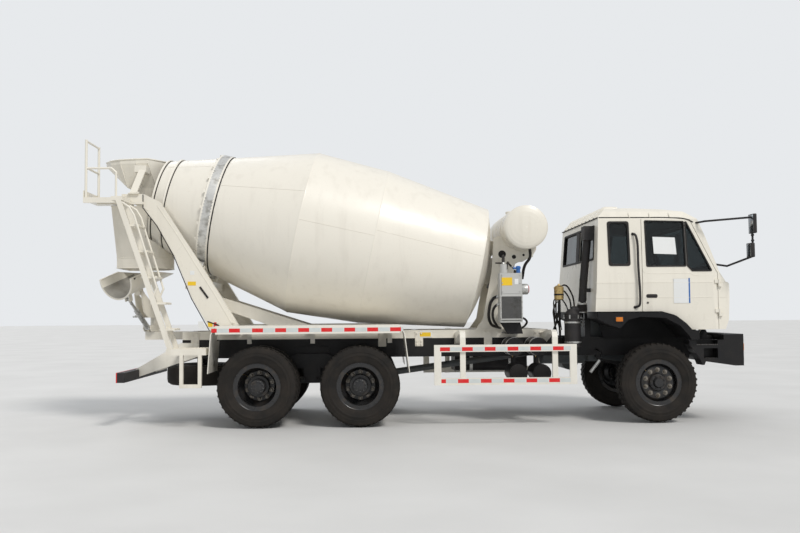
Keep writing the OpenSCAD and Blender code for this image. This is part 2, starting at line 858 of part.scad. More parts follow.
// The cab's front outline as half widths at each height, from the sill up to the roof
cab_half = [[cab_half_w - 10, 1190], [cab_half_w, 1616], [cab_half_w, 1810],
    [cab_half_w - 15, 1960], [cab_half_w - 85, 2640], [cab_half_w - 160, 2750],
    [cab_half_w - 300, 2820]];
function mirrored(p) = concat(p, [for (i = [len(p) - 1 : -1 : 0]) [-p[i][0], p[i][1]]]);
function back_cut(p) = concat(p, [for (i = [len(p) - 1 : -1 : 0]) [p[i][0], -p[i][1]]]);

// The cab's plan as [x, half width], with rounded front corners
cab_plan = [[-830, cab_half_w + 5], [-830, -cab_half_w - 5], [700, -cab_half_w - 5],
    [820, -cab_half_w + 30], [925, -cab_half_w + 48], [958, -cab_half_w + 80], [970, -cab_half_w + 160],
    [970, cab_half_w - 160], [958, cab_half_w - 80], [925, cab_half_w - 48], [820, cab_half_w - 30],
    [700, cab_half_w + 5]];

// The cab's outer form, drawn in by t all round
module cab_form(t) {
    intersection() {
        side_plate(inset(cab_side, t), [-1300, 1300]);
        front_plate(inset(mirrored(cab_half), t), [-900, 1000]);
        translate([0, 0, 1100])
            linear_extrude(1800)
                polygon(inset(cab_plan, t));
    }
}

// The band of the cab's side that a door takes up, to the depth t
module cab_side_band(t) {
    outline = [for (p = cab_half) if (p[1] < 2700) p];
    front_plate(concat([for (p = outline) [p[0] + 20, p[1]]],
        [for (i = [len(outline) - 1 : -1 : 0]) [outline[i][0] - t, outline[i][1]]]), [-900, 1000]);
}

door_outline = [[-210, 1440], [40, 1440], [205, 1393], [335, 1294], [417, 1202], [781, 1202],
    [781, 1930], [757, 1965], [450, 2640], [-180, 2640]];
door_window = [[-137, 2022], [372, 2022], [372, 2606], [-137, 2618]];
vent_window = [[394, 2024], [454, 1960], [706, 1960], [406, 2600], [394, 2600]];
quarter_window = [[-621, 2040], [-361, 2040], [-361, 2600], [-621, 2600]];
screen_half = cab_half_w - 150;
windscreen = [[-screen_half, 2020], [screen_half, 2020], [screen_half - 60, 2580],
    [-screen_half + 60, 2580]];
rear_windows = [[70, 2130], [screen_half - 80, 2130], [screen_half - 120, 2570], [70, 2570]];
side_reach = [cab_half_w - 260, cab_half_w + 140];

// Prisms through every fixed window, drawn in by t
module fixed_windows(t) {
    both_sides() {
        side_plate(inset(quarter_window, t), side_reach);
        front_plate(inset(rear_windows, t), [-900, -600]);
    }
    front_plate(inset(windscreen, t), [500, 960]);
}

module door_windows(t) {
    for (outline = [door_window, vent_window])
        side_plate(inset(outline, t), side_reach);
}

hinge_x = 792;
hinge_y = cab_half_w + 2;
hinge_r = 14;
hinge_pin_r = 6;
hinge_z = [1420, 1800];
hinge_h = 90;

module cab_shell() {
    lug_y = [rail_y - 88, rail_y - 20];
    color("#e9e5da") from_axle() {
        difference() {
            cab_form(0);
            cab_form(cab_wall);
            fixed_windows(0);
            both_sides()
                intersection() {
                    side_plate(inset(door_outline, -door_gap), side_reach);
                    cab_side_band(cab_wall + door_gap);
                }
        }
        // Lower hinge barrels with their pins
        both_sides()
            for (z = hinge_z) {
                translate([hinge_x, hinge_y, z - hinge_h / 2 - 1])
                    cylinder(r = hinge_r, h = hinge_h / 2);
                translate([hinge_x, hinge_y, z - 10])
                    cylinder(r = hinge_pin_r, h = hinge_h / 2 + 10);
                block([hinge_x, hinge_x + 45], [hinge_y - 60, hinge_y + 4],
                    [z - hinge_h / 2 - 1, z - 1]);
            }
        // Lugs on the tilt pins
        both_sides()
            difference() {
                union() {
                    side_cylinder(cab_pivot[0], cab_pivot[1], 40, lug_y);
                    block([cab_pivot[0] - 40, cab_pivot[0] + 30], lug_y, [cab_pivot[1], 1203]);
                }
                side_cylinder(cab_pivot[0], cab_pivot[1], cab_pin_r + pin_gap, [200, 600]);
            }
    }
}

module cab_glass() {
    color("#3c4a4c") from_axle()
        intersection() {
            difference() {
                cab_form(18);
                cab_form(24);
            }
            fixed_windows(0);
        }
}

// Seats, dashboard, console and steering wheel
module cab_interior() {
    floor_z = cab_side[0].y + cab_wall;
    seat_back = [[-600, 1870], [-480, 1870], [-580, 2480], [-670, 2480]];
    wheel_c = [400, 550, 1990];
    column = [640, 550, 1800];
    color("#4a4d52") from_axle() {
        for (y = [-550, 0, 550]) {
            half = y == 0 ? 190 : 240;
            block([-560, -80], [y - half + 40, y + half - 40], [floor_z, 1741]);
            block([-600, -40], [y - half, y + half], [1740, 1880]);
            side_plate(seat_back, [y - half, y + half]);
        }
        intersection() {
            cab_form(cab_wall);
            union() {
                block([-80, 700], [-170, 170], [1150, 1600]);
                block([560, 1000], [-cab_half_w + 80, cab_half_w - 80], [1640, 1960]);
                block([560, 700], [-250, 250], [1150, 1700]);
            }
        }
        rod(column, wheel_c, 28);
        translate(wheel_c) {
            rotate([0, -acos(unit(wheel_c - column).z), 0]) {
                rotate_extrude()
                    translate([215, 0])
                        circle(r = 15);
                for (a = [90, 210, 330])
                    rotate([0, 0, a])
                        rod([0, 0, 0], [210, 0, 0], 11);
            }
        }
    }
}

// Black wheel arches with their flares
module cab_arches() {
    lip = [[-800, 1350], [-700, 1300], [-521, 1236], [-416, 1344], [-260, 1381], [64, 1366],
        [256, 1262], [369, 1133], [395, 1085], [500, 1085], [500, 1202], [417, 1202], [335, 1294],
        [205, 1393], [40, 1440], [-810, 1440]];
    drop = door_gap + 3;
    color("#202124") from_axle() both_sides() {
        side_plate(lip, [640, cab_half_w - cab_wall - door_gap - 14]);
        translate([0, 0, -drop])
            side_plate(lip, [cab_half_w - cab_wall - door_gap - 15, cab_half_w + 60]);
    }
}

module mirrors() {
    color("#1e1f21") difference() {
        from_axle() both_sides() {
            rod_path([[500, 1020, 2585], [620, 1180, 2600], [1150, 1385, 2628], [1150, 1385, 2130],
                [887, 1200, 2016], [745, 1080, 2050]], 13);
            block([1140, 1180], [1300, 1450], [2424, 2667]);
            block([1105, 1150], [1300, 1440], [2118, 2297]);
        }
        from_axle()
            cab_form(0);
    }
}

// Intake pipe on the cab's back, which lifts off the bellows when the cab tilts
module snorkel() {
    y = -820;
    color("#232527") difference() {
        from_axle() {
            rod_path([[-915, y, 1568], [-907, y, 1610], [-889, y, 1858], [-868, y, 2056],
                [-830, y, 2400]], 52);
            block([-888, -700], [y - 90, y + 90], [2386, 2572]);
            block([-900, -700], [y - 30, y + 30], [1700, 1750]);
        }
        from_axle()
            cab_form(0);
    }
}

module door(side) {
    color("#e9e5da") from_axle() on_side(side) {
        difference() {
            intersection() {
                cab_form(0);
                side_plate(door_outline, side_reach);
                cab_side_band(cab_wall);
            }
            door_windows(0);
        }
        // Hinge barrels
        for (z = hinge_z)
            difference() {
                union() {
                    translate([hinge_x, hinge_y, z])
                        cylinder(r = hinge_r, h = hinge_h / 2);
                    block([735, hinge_x], [hinge_y - 16, hinge_y + 4], [z, z + hinge_h / 2]);
                }
                translate([hinge_x, hinge_y, z - 1])
                    cylinder(r = hinge_pin_r + pin_gap, h = hinge_h);
            }
    }
}

module door_glass(side) {
    color("#3c4a4c") from_axle() on_side(side)
        intersection() {
            difference() {
                cab_form(18);
                cab_form(24);
            }
            door_windows(0);
        }
}

// The chute's swing frame: x points the way the chute runs when at rest
module swing_place() {
    from_axle()
        translate([swivel_x, 0, 0])
            rotate([0, 0, -90 - chute_turn])
                children();
}

// The chute's own frame: x runs down along its floor
chute_top = 1911;
module chute_place() {
    swing_place()
        translate([0, 0, chute_top])
            rotate([0, chute_slope, 0])
                children();
}
function on_chute(x, z) = [x * cos(chute_slope) + z * sin(chute_slope), 0,
    chute_top - x * sin(chute_slope) + z * cos(chute_slope)];

tilt_pin = on_chute(400, -62);
tilt_pin_r = 18;
jack_foot = [165, 0, 1262];
jack_pin_r = 16;
jack_eye = on_chute(640, -62);
cheek_y = [50, 62];

module chute_swivel() {
    post_r = 65;
    collar_r = 95;
    base_z = sub_z + 2;
    upper = [[0, 1405], [0, 1480], [tilt_pin.x - 40, tilt_pin.z], [tilt_pin.x - 20, tilt_pin.z + 28],
        [tilt_pin.x + 20, tilt_pin.z + 28], [tilt_pin.x + 34, tilt_pin.z - 10],
        [tilt_pin.x - 20, 1480], [240, 1405]];
    lower = [[0, base_z], [0, 1300], [jack_foot.x + 20, 1300], [jack_foot.x + 34, 1250],
        [jack_foot.x, base_z]];
    color("#e9e5da") swing_place() {
        translate([0, 0, rail_top])
            cylinder(r = swivel_pin_r, h = sub_h + 10);
        translate([0, 0, base_z])
            cylinder(r = collar_r, h = 18);
        translate([0, 0, base_z + 17])
            cylinder(r = post_r, h = 1700 - base_z);
        both_sides() {
            side_plate(upper, cheek_y);
            side_plate(lower, cheek_y);
        }
        side_cylinder(tilt_pin.x, tilt_pin.z, tilt_pin_r, [-cheek_y[0] - 1, cheek_y[0] + 1]);
        side_cylinder(jack_foot.x, jack_foot.z, jack_pin_r, [-cheek_y[0] - 1, cheek_y[0] + 1]);
    }
}

module chute() {
    r = 235;
    wall = 6;
    depth = 270;
    back = -345;
    cut_z = 2028;
    bead = 16;
    module trough_outline(grow) {
        difference() {
            union() {
                translate([0, r])
                    circle(r = r + grow);
                translate([-r - grow, r])
                    square([2 * (r + grow), depth - r]);
            }
            translate([0, r])
                circle(r = r - wall);
            translate([-r + wall, r])
                square([2 * (r - wall), 2 * r]);
            translate([-r * 2, depth])
                square([4 * r, 2 * r]);
        }
    }
    color("#dfdacd") {
        intersection() {
            chute_place() {
                translate([back, 0, 0])
                    rotate([90, 0, 90])
                        linear_extrude(chute_l)
                            trough_outline(0);
                // Thick rim round the lower end
                translate([back + chute_l - 40, 0, 0])
                    rotate([90, 0, 90])
                        linear_extrude(40)
                            trough_outline(bead);
            }
            swing_place()
                block([-500, 1400], [-400, 400], [900, cut_z]);
        }
        chute_place() {
            difference() {
                block([360, 440], [-44, 44], [-70, 5]);
                side_cylinder(400, -62, tilt_pin_r + pin_gap, [-100, 100]);
            }
            both_sides()
                block([610, 670], [30, 42], [-90, 6]);
        }
    }
}

// Jack below the chute, whose upper eye sits between the chute's ears
module chute_jack() {
    axis = jack_eye - jack_foot;
    reach = norm(axis);
    angle = acos(axis.z / reach);
    color("#c8c4ba") swing_place() translate(jack_foot) rotate([0, angle, 0]) difference() {
        union() {
            side_cylinder(0, 0, 30, [-40, 40]);
            translate([0, 0, 10])
                cylinder(r = 34, h = reach * 0.6);
            cylinder(r = 20, h = reach - 10);
            side_cylinder(0, reach, 24, [-22, 22]);
            // Crank with its handle
            translate([0, 0, reach * 0.4]) {
                rotate([90, 0, 0])
                    cylinder(r = 12, h = 120);
                rod([0, -110, 0], [-150, -110, -90], 9);
            }
        }
        side_cylinder(0, 0, jack_pin_r + pin_gap, [-60, 60]);
    }
}

// Steering knuckle with its pin and spindle
module knuckle(side) {
    ear_z = [[wheel_z - 120, wheel_z - 76], [wheel_z + 76, wheel_z + 120]];
    color("#2c2e30") from_axle() on_side(side) {
        for (z = ear_z) {
            translate([0, kingpin_y, z[0]])
                cylinder(r = 52, h = z[1] - z[0]);
            block([-50, 50], [kingpin_y, 900], z);
        }
        block([-50, 50], [kingpin_y + 62, 900], [ear_z[0][0], ear_z[1][1]]);
        translate([0, kingpin_y, ear_z[0][0]])
            cylinder(r = kingpin_r, h = ear_z[1][1] - ear_z[0][0]);
        side_cylinder(0, wheel_z, spindle_r, [899, front_y + 105]);
    }
}

// Section of one tyre as [radius, offset], centred on its own middle
module tyre_form(offset) {
    half = tyre_w / 2;
    seat_r = rim_r - 38;
    translate([0, 0, offset])
        rotate_extrude($fn = 96)
            polygon([[seat_r, -half + 38], [rim_r, -half + 30], [rim_r + 70, -half + 6],
                [rim_r + 110, -half], [tyre_r - 50, -half + 5], [tyre_r - 12, -half + 24],
                [tyre_r, -half + 60], [tyre_r, half - 60], [tyre_r - 12, half - 24],
                [tyre_r - 50, half - 5], [rim_r + 110, half], [rim_r + 70, half - 6],
                [rim_r, half - 30], [seat_r, half - 38]]);
}

// Rim barrel with its two flanges
module rim_barrel(offset) {
    half = tyre_w / 2 - 38;
    seat_r = rim_r - 38;
    translate([0, 0, offset])
        rotate_extrude($fn = 96)
            polygon([[seat_r - 10, -half - 14], [rim_r, -half - 14], [rim_r, -half - 12 + 2],
                [seat_r, -half], [seat_r, half], [rim_r, half + 10], [rim_r, half + 14],
                [seat_r - 10, half + 14]]);
}

module rim_front(side) {
    seat_r = rim_r - 38;
    hub_r = 96;
    color("#55524e") wheel_place(axle_x[0], side)
        difference() {
            union() {
                rim_barrel(front_y);
                rotate_extrude($fn = 96)
                    polygon([[hub_r - 10, front_y + 44], [150, front_y + 62], [205, front_y + 52],
                        [seat_r - 9, front_y + 20], [seat_r - 9, front_y + 34], [208, front_y + 64],
                        [150, front_y + 74], [hub_r - 10, front_y + 56]]);
                translate([0, 0, front_y - 40])
                    cylinder(r = hub_r, h = 140);
                translate([0, 0, front_y + 99])
                    cylinder(r1 = 70, r2 = 55, h = 38);
            }
            translate([0, 0, front_y - 60])
                cylinder(r = spindle_r + pin_gap, h = 60 + 107);
        }
}

module rims_rear(x, side) {
    seat_r = rim_r - 38;
    hub_r = 132;
    disc = (inner_y + outer_y) / 2;
    color("#55524e") wheel_place(x, side)
        difference() {
            union() {
                rim_barrel(inner_y);
                rim_barrel(outer_y);
                rotate_extrude($fn = 96)
                    polygon([[hub_r - 10, disc - 12], [190, disc - 12], [seat_r - 9, inner_y + 60],
                        [seat_r - 9, inner_y + 74], [200, disc], [seat_r - 9, outer_y - 74],
                        [seat_r - 9, outer_y - 60], [190, disc + 12], [hub_r - 10, disc + 12]]);
                translate([0, 0, disc - 60])
                    cylinder(r = hub_r, h = 180);
                translate([0, 0, disc + 119])
                    cylinder(r1 = 100, r2 = 88, h = 120);
            }
            translate([0, 0, disc - 70])
                cylinder(r = rear_hub_r + pin_gap, h = outer_y + 75 - disc + 70);
        }
}

module tyre_front(side) {
    color("#2b2624") wheel_place(axle_x[0], side)
        tyre_form(front_y);
}

module tyres_rear(x, side) {
    color("#2b2624") wheel_place(x, side)
        for (offset = [inner_y, outer_y])
            tyre_form(offset);
}

chassis_frame();
subframe();
powertrain();
front_axle();
rear_axles();
leaf_springs();
bumper();
lamps();
front_pedestal();
drum_gearbox();
oil_cooler();
water_tank();
rear_pedestal();
hopper();
discharge_funnel();
platform();
ladder();
rear_fenders();
side_guards();
underrun_bar();
spare_wheel();
air_tanks();
fuel_tank();
air_cleaner();
cab_shell();
cab_glass();
cab_interior();
cab_arches();
mirrors();
snorkel();
door(1);  // door_left
door(-1);  // door_right
door_glass(1);  // door_glass_left
door_glass(-1);  // door_glass_right
drum();
roller(1);  // roller_left
roller(-1);  // roller_right
chute_swivel();
chute();
chute_jack();
knuckle(1);  // knuckle_left
knuckle(-1);  // knuckle_right
tyre_front(1);  // tyre_front_left
tyre_front(-1);  // tyre_front_right
rim_front(1);  // rim_front_left
rim_front(-1);  // rim_front_right
tyres_rear(axle_x[1], 1);  // tyres_middle_left
tyres_rear(axle_x[1], -1);  // tyres_middle_right
rims_rear(axle_x[1], 1);  // rims_middle_left
rims_rear(axle_x[1], -1);  // rims_middle_right
tyres_rear(axle_x[2], 1);  // tyres_rear_left
tyres_rear(axle_x[2], -1);  // tyres_rear_right
rims_rear(axle_x[2], 1);  // rims_rear_left
rims_rear(axle_x[2], -1);  // rims_rear_right
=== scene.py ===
"""Looks of the concrete mixer truck: finishes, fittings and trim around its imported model."""
import json
import logging
import math
from collections.abc import Callable, Iterator, Sequence
from contextlib import contextmanager
from dataclasses import dataclass
from enum import Enum

import bpy
from mathutils import Matrix, Vector

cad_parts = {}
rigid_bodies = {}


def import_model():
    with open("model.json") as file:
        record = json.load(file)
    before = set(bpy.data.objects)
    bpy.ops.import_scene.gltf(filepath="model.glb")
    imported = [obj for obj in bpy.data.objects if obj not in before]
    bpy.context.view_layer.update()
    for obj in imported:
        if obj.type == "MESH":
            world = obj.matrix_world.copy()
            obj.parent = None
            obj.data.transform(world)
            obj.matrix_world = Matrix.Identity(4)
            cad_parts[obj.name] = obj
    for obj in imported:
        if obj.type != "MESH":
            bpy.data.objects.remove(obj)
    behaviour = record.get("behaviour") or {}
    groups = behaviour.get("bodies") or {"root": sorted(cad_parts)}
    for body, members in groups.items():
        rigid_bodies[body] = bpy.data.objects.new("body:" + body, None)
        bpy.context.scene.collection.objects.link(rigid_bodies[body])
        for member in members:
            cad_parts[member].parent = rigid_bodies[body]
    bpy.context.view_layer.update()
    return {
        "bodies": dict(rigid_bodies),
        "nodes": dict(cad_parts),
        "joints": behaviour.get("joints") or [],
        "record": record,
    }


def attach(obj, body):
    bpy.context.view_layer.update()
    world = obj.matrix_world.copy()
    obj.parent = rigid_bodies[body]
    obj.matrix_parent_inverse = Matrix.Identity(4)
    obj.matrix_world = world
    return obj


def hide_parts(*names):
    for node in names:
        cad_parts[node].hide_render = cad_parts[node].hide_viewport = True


log = logging.getLogger("mixer")

# Millimetres from the part's origin to the front axle, from which the lengths below are measured.
FRONT_AXLE_X = 3120.0
MIDDLE_AXLE_X = -3850
REAR_AXLE_X = -5150
# Distance in metres below which points are welded.
WELD = 0.00002
# Angle in degrees above which an edge counts as sharp.
SHARP = 35.0
# Corner radius of a hexagon over its width across the flats.
HEX_CORNER = 0.577
AHEAD = Vector((1, 0, 0))
LEFTWARD = Vector((0, 1, 0))
UP = Vector((0, 0, 1))

Point = tuple[float, float, float]
Flat = tuple[float, float]
Colour = tuple[float, float, float]
Surface = Callable[[float, float], Vector]

TAPE_RED: Colour = (0.72, 0.004, 0.008)
ROAD_DIRT: Colour = (0.08, 0.064, 0.048)


class Body(Enum):
    """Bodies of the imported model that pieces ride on."""

    CHASSIS = "chassis"
    CAB = "cab"
    DOOR_LEFT = "door_left"
    DOOR_RIGHT = "door_right"
    DRUM = "drum"
    CHUTE = "chute"
    WHEEL_FRONT_LEFT = "wheel_front_left"
    WHEEL_FRONT_RIGHT = "wheel_front_right"
    WHEELS_MIDDLE_LEFT = "wheels_middle_left"
    WHEELS_MIDDLE_RIGHT = "wheels_middle_right"
    WHEELS_REAR_LEFT = "wheels_rear_left"
    WHEELS_REAR_RIGHT = "wheels_rear_right"


class Slot(Enum):
    """Material slots of the record."""

    CREAM = "cream_paint"
    BLACK = "black_paint"
    DARK = "dark_metal"
    GREY = "grey_paint"
    TRACK = "track_steel"
    TYRE = "tyre"
    WINDOW = "window"
    LAMP = "lamp"
    TRIM = "trim_plastic"
    SEAT = "seat_fabric"


class Plane(Enum):
    """View in which an outline is drawn, as the directions of its two sides and of its depth."""

    SIDE = ((1, 0, 0), (0, 0, 1), (0, 1, 0))
    FRONT = ((0, 1, 0), (0, 0, 1), (1, 0, 0))
    TOP = ((1, 0, 0), (0, 1, 0), (0, 0, 1))


def at(x: float, y: float, z: float) -> Vector:
    """Turns millimetres from the front axle into metres from the part's origin."""
    return Vector(((x + FRONT_AXLE_X) / 1000, y / 1000, z / 1000))


def lerp(table: Sequence[Flat], key: float) -> float:
    """Reads a value off a rising table of points.

    Args:
        table: Points as (key, value), by rising key.
        key: Where to read.

    Returns:
        The value on the straight line between the two nearest points.
    """
    for (a, va), (b, vb) in zip(table, table[1:]):
        if key <= b:
            t = max(0.0, (key - a) / (b - a))
            return va + (vb - va) * t
    return table[-1][1]


def sides(side: float) -> str:
    """Name of a side, left for +1 and right for -1."""
    return "left" if side > 0 else "right"


def door_body(side: float) -> Body:
    """Body of the door on a side."""
    return Body(f"door_{sides(side)}")


def outward(side: float) -> Vector:
    """Direction out of the truck's side, to the left for +1."""
    return Vector((0, side, 0))


def y_span(side: float, near: float, far: float) -> Flat:
    """Limits across the truck between two distances on one side of it, in rising order."""
    return min(side * near, side * far), max(side * near, side * far)


class Graph:
    """Node tree of one material, with short calls for the nodes that the finishes share."""

    def __init__(self, name: str) -> None:
        """Starts an empty material with one shader.

        Args:
            name: Name of the material.
        """
        self.material = bpy.data.materials.new(name)
        self.material.use_nodes = True
        self.tree = self.material.node_tree
        self.shader = next(n for n in self.tree.nodes if n.type == "BSDF_PRINCIPLED")

    def add(self, kind: str, links: dict[str, object] | None = None, **settings: object) -> bpy.types.Node:
        """Adds a node.

        Args:
            kind: Class name of the node without its ShaderNode part.
            links: Inputs by name, each a value or an output to link.
            settings: Properties of the node.

        Returns:
            The node.
        """
        node = self.tree.nodes.new("ShaderNode" + kind)
        for key, value in settings.items():
            setattr(node, key, value)
        for key, value in (links or {}).items():
            self.plug(node.inputs[key], value)
        return node

    def plug(self, socket: bpy.types.NodeSocket, value: object) -> None:
        """Links an output to a socket, or sets its value."""
        if isinstance(value, bpy.types.NodeSocket):
            self.tree.links.new(value, socket)
        elif isinstance(value, tuple) and len(value) == 3 and socket.type == "RGBA":
            socket.default_value = (*value, 1.0)
        else:
            socket.default_value = value

    def place(self, scale: Point = (1, 1, 1)) -> bpy.types.NodeSocket:
        """Place on the piece in metres, stretched by a scale."""
        where = self.add("TexCoord").outputs["Object"]
        return self.add("Mapping", {"Vector": where, "Scale": scale}).outputs[0]

    def noise(self, scale: float, detail: float = 4, stretch: Point = (1, 1, 1)) -> bpy.types.NodeSocket:
        """Noise between 0 and 1 at so many waves a metre."""
        links = {"Vector": self.place(stretch), "Scale": scale, "Detail": detail}
        return self.add("TexNoise", links).outputs[0]

    def span(self, value: bpy.types.NodeSocket, low: float, high: float, to_low: float = 0.0,
             to_high: float = 1.0) -> bpy.types.NodeSocket:
        """Maps a value from one span to another, held at its ends."""
        links = {"Value": value, "From Min": low, "From Max": high, "To Min": to_low, "To Max": to_high}
        return self.add("MapRange", links).outputs[0]

    def math(self, operation: str, a: object, b: object = 0.0) -> bpy.types.NodeSocket:
        """Result of a sum on two values."""
        node = self.add("Math", operation=operation)
        self.plug(node.inputs[0], a)
        self.plug(node.inputs[1], b)
        return node.outputs[0]

    def mix(self, amount: object, a: object, b: object) -> bpy.types.NodeSocket:
        """Colour a that turns to colour b by an amount."""
        node = self.add("Mix", data_type="RGBA")
        self.plug(node.inputs[0], amount)
        self.plug(node.inputs[6], a)
        self.plug(node.inputs[7], b)
        return node.outputs[2]

    def height(self) -> bpy.types.NodeSocket:
        """Height above the ground in metres."""
        return self.add("SeparateXYZ", {"Vector": self.place()}).outputs[2]

    def bump(self, height: bpy.types.NodeSocket, depth: float, strength: float = 1.0,
             under: bpy.types.NodeSocket | None = None) -> bpy.types.NodeSocket:
        """Bump of a height map with a depth in metres, on top of another bump."""
        links = {"Height": height, "Distance": depth, "Strength": strength}
        if under is not None:
            links["Normal"] = under
        return self.add("Bump", links).outputs[0]

    def shade(self, **inputs: object) -> None:
        """Sets or links the shader's inputs, with _ for a space in their names."""
        for key, value in inputs.items():
            self.plug(self.shader.inputs[key.replace("_", " ")], value)


@dataclass(frozen=True)
class Finish:
    """Base of the finishes: a name, a slot of the record and one colour."""

    name: str
    slot: Slot
    colour: Colour

    def material(self) -> bpy.types.Material:
        """The finish's material, made when it is first used."""
        known = bpy.data.materials.get("f_" + self.name)
        return known if known is not None else self.make(Graph("f_" + self.name))

    def make(self, graph: Graph) -> bpy.types.Material:
        """Builds the node tree.

        Args:
            graph: Fresh tree to fill.

        Returns:
            Its material.
        """
        raise NotImplementedError


@dataclass(frozen=True)
class Paint(Finish):
    """Sprayed paint with orange peel, faint runs and dust that thickens towards the ground."""

    rough: float = 0.32
    streaks: float = 0.12
    dust: float = 0.35
    dust_top: float = 1.5
    dirt: Colour = (0.30, 0.25, 0.19)
    coat: float = 0.25
    shine: float = 0.5

    def make(self, graph: Graph) -> bpy.types.Material:
        """Mixes tone, runs and dust over the paint."""
        tone = graph.span(graph.noise(1.3, 3), 0.3, 0.7, 0.0, 0.10)
        base = graph.mix(tone, self.colour, tuple(c * 0.82 for c in self.colour))
        runs = graph.noise(9, 5, (1, 1, 0.06))
        runs = graph.math("MULTIPLY", graph.span(runs, 0.52, 0.75), self.streaks)
        base = graph.mix(runs, base, self.dirt)
        low = graph.span(graph.height(), 0.35, self.dust_top, 1.0, 0.0)
        patch = graph.span(graph.noise(6, 6), 0.35, 0.75)
        dust = graph.math("MULTIPLY", graph.math("MULTIPLY", low, patch), self.dust)
        base = graph.mix(dust, base, self.dirt)
        spots = graph.span(graph.noise(70, 3), 0.66, 0.72, 0.0, 0.18)
        base = graph.mix(spots, base, self.dirt)
        rough = graph.span(graph.noise(4, 4), 0.3, 0.7, self.rough - 0.07, self.rough + 0.12)
        waves = graph.bump(graph.noise(3.5, 2), 0.004, 0.35)
        peel = graph.bump(graph.noise(420, 2), 0.0003, 0.5, waves)
        graph.shade(Base_Color=base, Roughness=rough, Normal=peel)
        graph.shade(Coat_Weight=self.coat, Coat_Roughness=0.12, Specular_IOR_Level=self.shine)
        return graph.material


@dataclass(frozen=True)
class Metal(Finish):
    """Bare or thinly coated metal with mottled grease or rust."""

    grime: Colour = (0.03, 0.028, 0.025)
    cover: float = 0.5
    metallic: float = 0.8
    rough: float = 0.4
    grain: float = 28.0

    def make(self, graph: Graph) -> bpy.types.Material:
        """Mottles the metal with its grime."""
        blot = graph.noise(self.grain, 7)
        spot = graph.noise(self.grain * 6, 3)
        amount = graph.span(blot, 0.62 - self.cover * 0.35, 0.82 - self.cover * 0.35)
        base = graph.mix(amount, self.colour, self.grime)
        base = graph.mix(graph.span(spot, 0.55, 0.75, 0.0, 0.35), base, self.grime)
        rough = graph.span(blot, 0.3, 0.7, self.rough - 0.1, self.rough + 0.15)
        bump = graph.bump(spot, 0.0006, 0.5, graph.bump(blot, 0.001, 0.4))
        graph.shade(Base_Color=base, Roughness=rough, Normal=bump, Metallic=self.metallic)
        return graph.material


@dataclass(frozen=True)
class Rubber(Finish):
    """Matt rubber with brown road dust in its hollows."""

    dust: Colour = (0.16, 0.125, 0.095)
    cover: float = 0.35
    rough: float = 0.78
    shine: float = 0.25

    def make(self, graph: Graph) -> bpy.types.Material:
        """Lays dust over the rubber in soft patches."""
        patch = graph.span(graph.noise(7, 6), 0.3, 0.8, 0.0, self.cover)
        base = graph.mix(patch, self.colour, self.dust)
        grit = graph.noise(160, 4)
        base = graph.mix(graph.span(grit, 0.55, 0.8, 0.0, 0.3), base, self.dust)
        rough = graph.span(grit, 0.3, 0.7, self.rough - 0.08, self.rough + 0.1)
        graph.shade(Base_Color=base, Roughness=rough, Normal=graph.bump(grit, 0.0008, 0.6))
        graph.shade(Specular_IOR_Level=self.shine)
        return graph.material


@dataclass(frozen=True)
class Glass(Finish):
    """Tinted glass with a film of dust."""

    clear: float = 1.0
    ribs: float = 0.0

    def make(self, graph: Graph) -> bpy.types.Material:
        """Clouds the glass a little, with ribs for a lamp's lens."""
        film = graph.span(graph.noise(5, 6), 0.35, 0.8, 0.0, 0.12)
        base = graph.mix(film, self.colour, tuple(min(1.0, c + 0.12) for c in self.colour))
        rough = graph.span(graph.noise(11, 5), 0.4, 0.8, 0.015, 0.09)
        graph.shade(Base_Color=base, Roughness=rough, Transmission_Weight=self.clear, IOR=1.46)
        if self.ribs:
            wave = graph.add("TexWave", {"Vector": graph.place(), "Scale": self.ribs}, bands_direction="Y")
            graph.shade(Normal=graph.bump(wave.outputs[1], 0.002, 0.8))
        return graph.material


@dataclass(frozen=True)
class Tape(Finish):
    """Red and white reflecting tape in even lengths."""

    along: int = 0
    pitch: float = 0.29
    red_share: float = 0.5
    start: float = 0.0

    def make(self, graph: Graph) -> bpy.types.Material:
        """Splits the tape by its place along one axis and adds its small cells."""
        axis = graph.add("SeparateXYZ", {"Vector": graph.place()}).outputs[self.along]
        turn = graph.math("FRACT", graph.math("DIVIDE", graph.math("SUBTRACT", axis, self.start), self.pitch))
        red = graph.math("LESS_THAN", turn, self.red_share)
        seam = graph.math("LESS_THAN", graph.math("PINGPONG", turn, self.red_share), 0.025)
        cells = graph.add("TexVoronoi", {"Vector": graph.place(), "Scale": 260.0}).outputs[0]
        base = graph.mix(red, (0.62, 0.67, 0.66), self.colour)
        base = graph.mix(seam, base, (0.68, 0.72, 0.71))
        base = graph.mix(graph.span(cells, 0.2, 0.7, 0.0, 0.12), base, (0.42, 0.34, 0.32))
        soil = graph.span(graph.noise(14, 6), 0.5, 0.8, 0.0, 0.15)
        base = graph.mix(soil, base, (0.32, 0.28, 0.22))
        graph.shade(Base_Color=base, Roughness=0.3, Normal=graph.bump(cells, 0.0004, 0.5))
        graph.shade(Specular_IOR_Level=0.2)
        return graph.material


